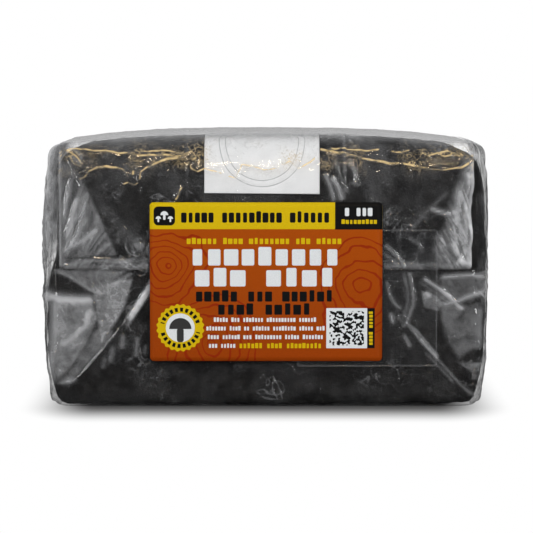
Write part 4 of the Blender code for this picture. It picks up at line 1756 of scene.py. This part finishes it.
@dataclass
class FilterPatch:
    """The filter patch between neck and pouch, with its double weld ring."""

    form: BagForm
    layers: Layers
    width: float = 0.056
    length: float = 0.052
    start: float = 0.0372
    aside: float = -0.0018
    chamfer: float = 0.006
    rings: tuple[float, float] = (0.0209, 0.0179)
    ring_margin: float = 0.0030
    ring_width: float = 0.00045
    ring_height: float = 0.00022
    cell: float = 0.0007
    thickness: float = 0.0004

    def outline(self) -> list[tuple[float, float]]:
        """The patch laid flat, its far corners cut off.

        Returns:
            Its points, anticlockwise, in metres.
        """
        left, right = self.aside - self.width / 2, self.aside + self.width / 2
        far, trim = self.start + self.length, self.chamfer
        near = [(left, self.start), (right, self.start - 0.0006)]
        return near + [(right, far - trim), (right - trim, far), (left + trim, far), (left, far - trim)]

    def middle(self) -> tuple[float, float]:
        """The middle of the rings, on the patch laid flat."""
        return self.aside, self.start + self.ring_margin + self.rings[0]

    def ring_rise(self, across: Array, along: Array) -> Array:
        """Height of the weld rings.

        Args:
            across: Metres across the bag.
            along: Metres along the sheet, from the fold.

        Returns:
            A value from 0 to 1 for each point.
        """
        middle = self.middle()
        gap = np.hypot(across - middle[0], along - middle[1])
        return sum(np.exp(-(((gap - ring) / self.ring_width) ** 2)) for ring in self.rings)

    def lift(self, across: Array, along: Array) -> Array:
        """Height of the patch's underside, lower where the rings are welded."""
        return self.layers.patch - self.ring_height * self.ring_rise(across, along)

    def build(self) -> bpy.types.Object:
        """Make the patch.

        Returns:
            The new object.
        """
        piece = laid_piece("filter_fleece", self.form, self.outline(), self.cell, self.lift, self.thickness)
        dress(piece, FilterFleece(self.middle(), self.rings).build())
        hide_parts("filter_patch")
        return piece


@dataclass
class Label:
    """The printed label on the front."""

    form: BagForm
    layers: Layers
    width: float = 0.1128
    height: float = 0.0773
    top: float = 0.0328
    aside: float = 0.0002
    corner: float = 0.0018
    cell: float = 0.0025
    thickness: float = 0.0002
    wave: float = 0.0005

    def lift(self, across: Array, along: Array) -> Array:
        """Height of the label's underside, a little uneven."""
        spots = np.stack([across / 0.03, along / 0.02, np.zeros(len(across))], axis=1)
        return self.layers.label + self.wave * (Noise(41).smooth(spots) - 0.5)

    def build(self) -> bpy.types.Object:
        """Make the label, slightly waved by the fold behind it.

        Returns:
            The new object.
        """
        centre = (self.aside, self.top - self.height / 2)
        outline = rounded(self.width, self.height, self.corner, centre)
        piece = laid_piece("printed_label", self.form, outline, self.cell, self.lift, self.thickness)
        for loop in piece.data.uv_layers["flat"].data:
            loop.uv = loop.uv[0] - centre[0] * FLAT_SCALE, loop.uv[1] - centre[1] * FLAT_SCALE
        dress(piece, PrintedLabel().build())
        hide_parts("label")
        return piece


@dataclass
class ClearTab:
    """The clear square that holds the neck down, mostly under the label."""

    form: BagForm
    layers: Layers
    width: float = 0.0681
    height: float = 0.0669
    centre: tuple[float, float] = (0.0494, -0.01395)
    corner: float = 0.0012
    cell: float = 0.0012
    thickness: float = 0.00012
    cut_edge: float = 0.0004

    def lift(self, across: Array, along: Array) -> Array:
        """Height of the tab's underside, the same all over."""
        return np.full(len(across), self.layers.tab)

    def build(self) -> bpy.types.Object:
        """Make the tab, milky only along its cut edge.

        Returns:
            The new object.
        """
        outline = rounded(self.width, self.height, self.corner, self.centre)
        piece = laid_piece("clear_square", self.form, outline, self.cell, self.lift, self.thickness)
        edge = np.zeros(len(piece.data.vertices))
        for loop, uv in zip(piece.data.loops, piece.data.uv_layers["flat"].data):
            dx = self.width / 2 - abs(uv.uv[0] / FLAT_SCALE - self.centre[0])
            dy = self.height / 2 - abs(uv.uv[1] / FLAT_SCALE - self.centre[1])
            edge[loop.vertex_index] = 1.0 if min(dx, dy) < self.cut_edge else 0.0
        store(piece, "edge", edge)
        dress(piece, ClearSticker().build())
        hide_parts("clear_tab")
        return piece


@dataclass(frozen=True)
class Softbox:
    """One studio light, aimed at the bag."""

    name: str
    place: tuple[float, float, float]
    size: tuple[float, float]
    power: float
    colour: tuple[float, float, float] = (1.0, 1.0, 1.0)
    glossy: bool = True
    diffuse: bool = True
    target: tuple[float, float, float] = (0.0, 0.0, 0.06)

    def build(self) -> None:
        """Hang the light."""
        data = bpy.data.lights.new(self.name, "AREA")
        data.shape = "RECTANGLE"
        data.size, data.size_y = self.size
        data.energy = self.power
        data.color = self.colour
        lamp = in_scene(self.name, data)
        lamp.location = self.place
        lamp.visible_glossy = self.glossy
        lamp.visible_diffuse = self.diffuse
        aim = Vector(self.target) - Vector(self.place)
        lamp.rotation_euler = aim.to_track_quat("-Z", "Y").to_euler()


@dataclass
class Studio:
    """Camera, floor, white surround and lights."""

    distance: float = 1.3
    elevation: float = 4.5
    lens: float = 171.3
    target: tuple[float, float, float] = (0.0004, 0.0, 0.0639)
    floor_size: float = 3.0
    # Footprint of the painted shadow round the bag: half size and how fast it fades, along X and Y.
    shadow: tuple[tuple[float, float], ...] = ((0.082, 1.6), (0.060, 1.0))
    shadow_edge: tuple[float, float] = (0.004, 0.064)
    paper: float = 0.55
    painted_shadow_grey: float = 0.15
    mirrored_paper: float = 0.04
    fill: float = 0.48
    room: float = 0.02
    backdrop: float = 0.55
    backdrop_depth: tuple[float, float] = (-0.15, 0.35)
    backdrop_top: tuple[float, float] = (0.62, 0.25)
    lights: tuple[Softbox, ...] = (
        Softbox("left key", (-0.8, -1.0, 0.55), (0.6, 0.6), 7.4, glossy=False),
        Softbox("right key", (0.8, -1.0, 0.55), (0.6, 0.6), 7.4, glossy=False),
        Softbox("left strip", (-0.66, -1.0, 0.30), (0.07, 0.7), 2.0, diffuse=False),
        Softbox("right strip", (0.66, -1.0, 0.30), (0.07, 0.7), 2.0, diffuse=False),
        Softbox("warm strip", (0.0, -0.80, 0.72), (1.8, 0.020), 5.0, (1.0, 0.76, 0.48), diffuse=False),
    )

    def build(self) -> None:
        """Set the whole studio up."""
        self.camera()
        self.floor()
        self.surround()
        for light in self.lights:
            light.build()
        bpy.context.scene.view_settings.view_transform = "Standard"

    def camera(self) -> None:
        """Stand the camera in front, a little above the bag."""
        data = bpy.data.cameras.new("camera")
        data.lens = self.lens
        data.clip_start = 0.05
        camera = in_scene("camera", data)
        angle = math.radians(self.elevation)
        away = Vector((0, -math.cos(angle), math.sin(angle))) * self.distance
        camera.location = Vector(self.target) + away
        camera.rotation_euler = (-away).to_track_quat("-Z", "Y").to_euler()
        bpy.context.scene.camera = camera

    def floor(self) -> None:
        """A white floor, with a painted shadow round the bag over its real one, that fades into the
        surround.
        """
        mesh = bpy.data.meshes.new("floor")
        bm = bmesh.new()
        bmesh.ops.create_grid(bm, x_segments=8, y_segments=8, size=self.floor_size)
        bm.to_mesh(mesh)
        bm.free()
        floor = in_scene("floor", mesh)
        nodes = Shader("floor")
        parts = nodes.split(nodes.place())
        across, along = (
            ((abs(part) - half).most(0.0) * hurry) ** 2.0
            for part, (half, hurry) in zip(parts, self.shadow)
        )
        white = nodes.span((across + along).root(), *self.shadow_edge)
        path = nodes.make("ShaderNodeLightPath")
        camera = path.out("Is Camera Ray")
        # Camera rays see a darker paper near the bag: a painted shadow over the real one.
        grey = nodes.blend(camera, (self.paper,) * 3, (self.painted_shadow_grey,) * 3)
        grey = nodes.blend(path.out("Is Glossy Ray"), grey, (self.mirrored_paper,) * 3)
        paper = nodes.make("ShaderNodeBsdfDiffuse", {"Color": grey})
        seen = camera.most(path.out("Is Transmission Ray"))
        glow = nodes.make("ShaderNodeEmission")
        mesh.materials.append(nodes.surface(nodes.cover(white * seen, paper, glow)))

    def surround(self) -> None:
        """White to the camera, an even fill for matt surfaces, and a backdrop for reflections."""
        world = bpy.data.worlds.new("surround")
        bpy.context.scene.world = world
        world.use_nodes = True
        nodes = Nodes(world.node_tree)
        _, back, up = nodes.split(nodes.make("ShaderNodeTexCoord", out="Generated"))
        shown = nodes.span(back, *self.backdrop_depth) * nodes.span(up, *self.backdrop_top)
        backdrop = shown * self.backdrop + self.room
        path = nodes.make("ShaderNodeLightPath")
        matt = nodes.mix(path.out("Is Glossy Ray"), self.fill, backdrop)
        seen = nodes.mix(path.out("Is Camera Ray"), matt, 1.0)
        light = nodes.make("ShaderNodeBackground", {"Color": (1.0, 1.0, 1.0), "Strength": seen})
        nodes.end("ShaderNodeOutputWorld", light)


def main() -> None:
    """Dress the bag, piece by piece."""
    logging.basicConfig(level=logging.INFO, format="%(name)s: %(message)s")
    low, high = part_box("bag_film")
    block_low, block_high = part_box("substrate_block")
    form = BagForm(middle_y=block_low[1] / 2 + block_high[1] / 2)
    log.info("film spans %.1f mm", (high[0] - low[0]) / MM)
    layers = Layers()
    film = ClearFilm().build()
    for piece in (
        Block(form).build(),
        Pouch(form, layers).build(film),
        Neck(form, layers).build(film),
        FilterPatch(form, layers).build(),
        ClearTab(form, layers).build(),
        Label(form, layers).build(),
    ):
        log.info("%s has %d faces", piece.name, len(piece.data.polygons))
    Studio().build()


if __name__ == "__main__":
    main()
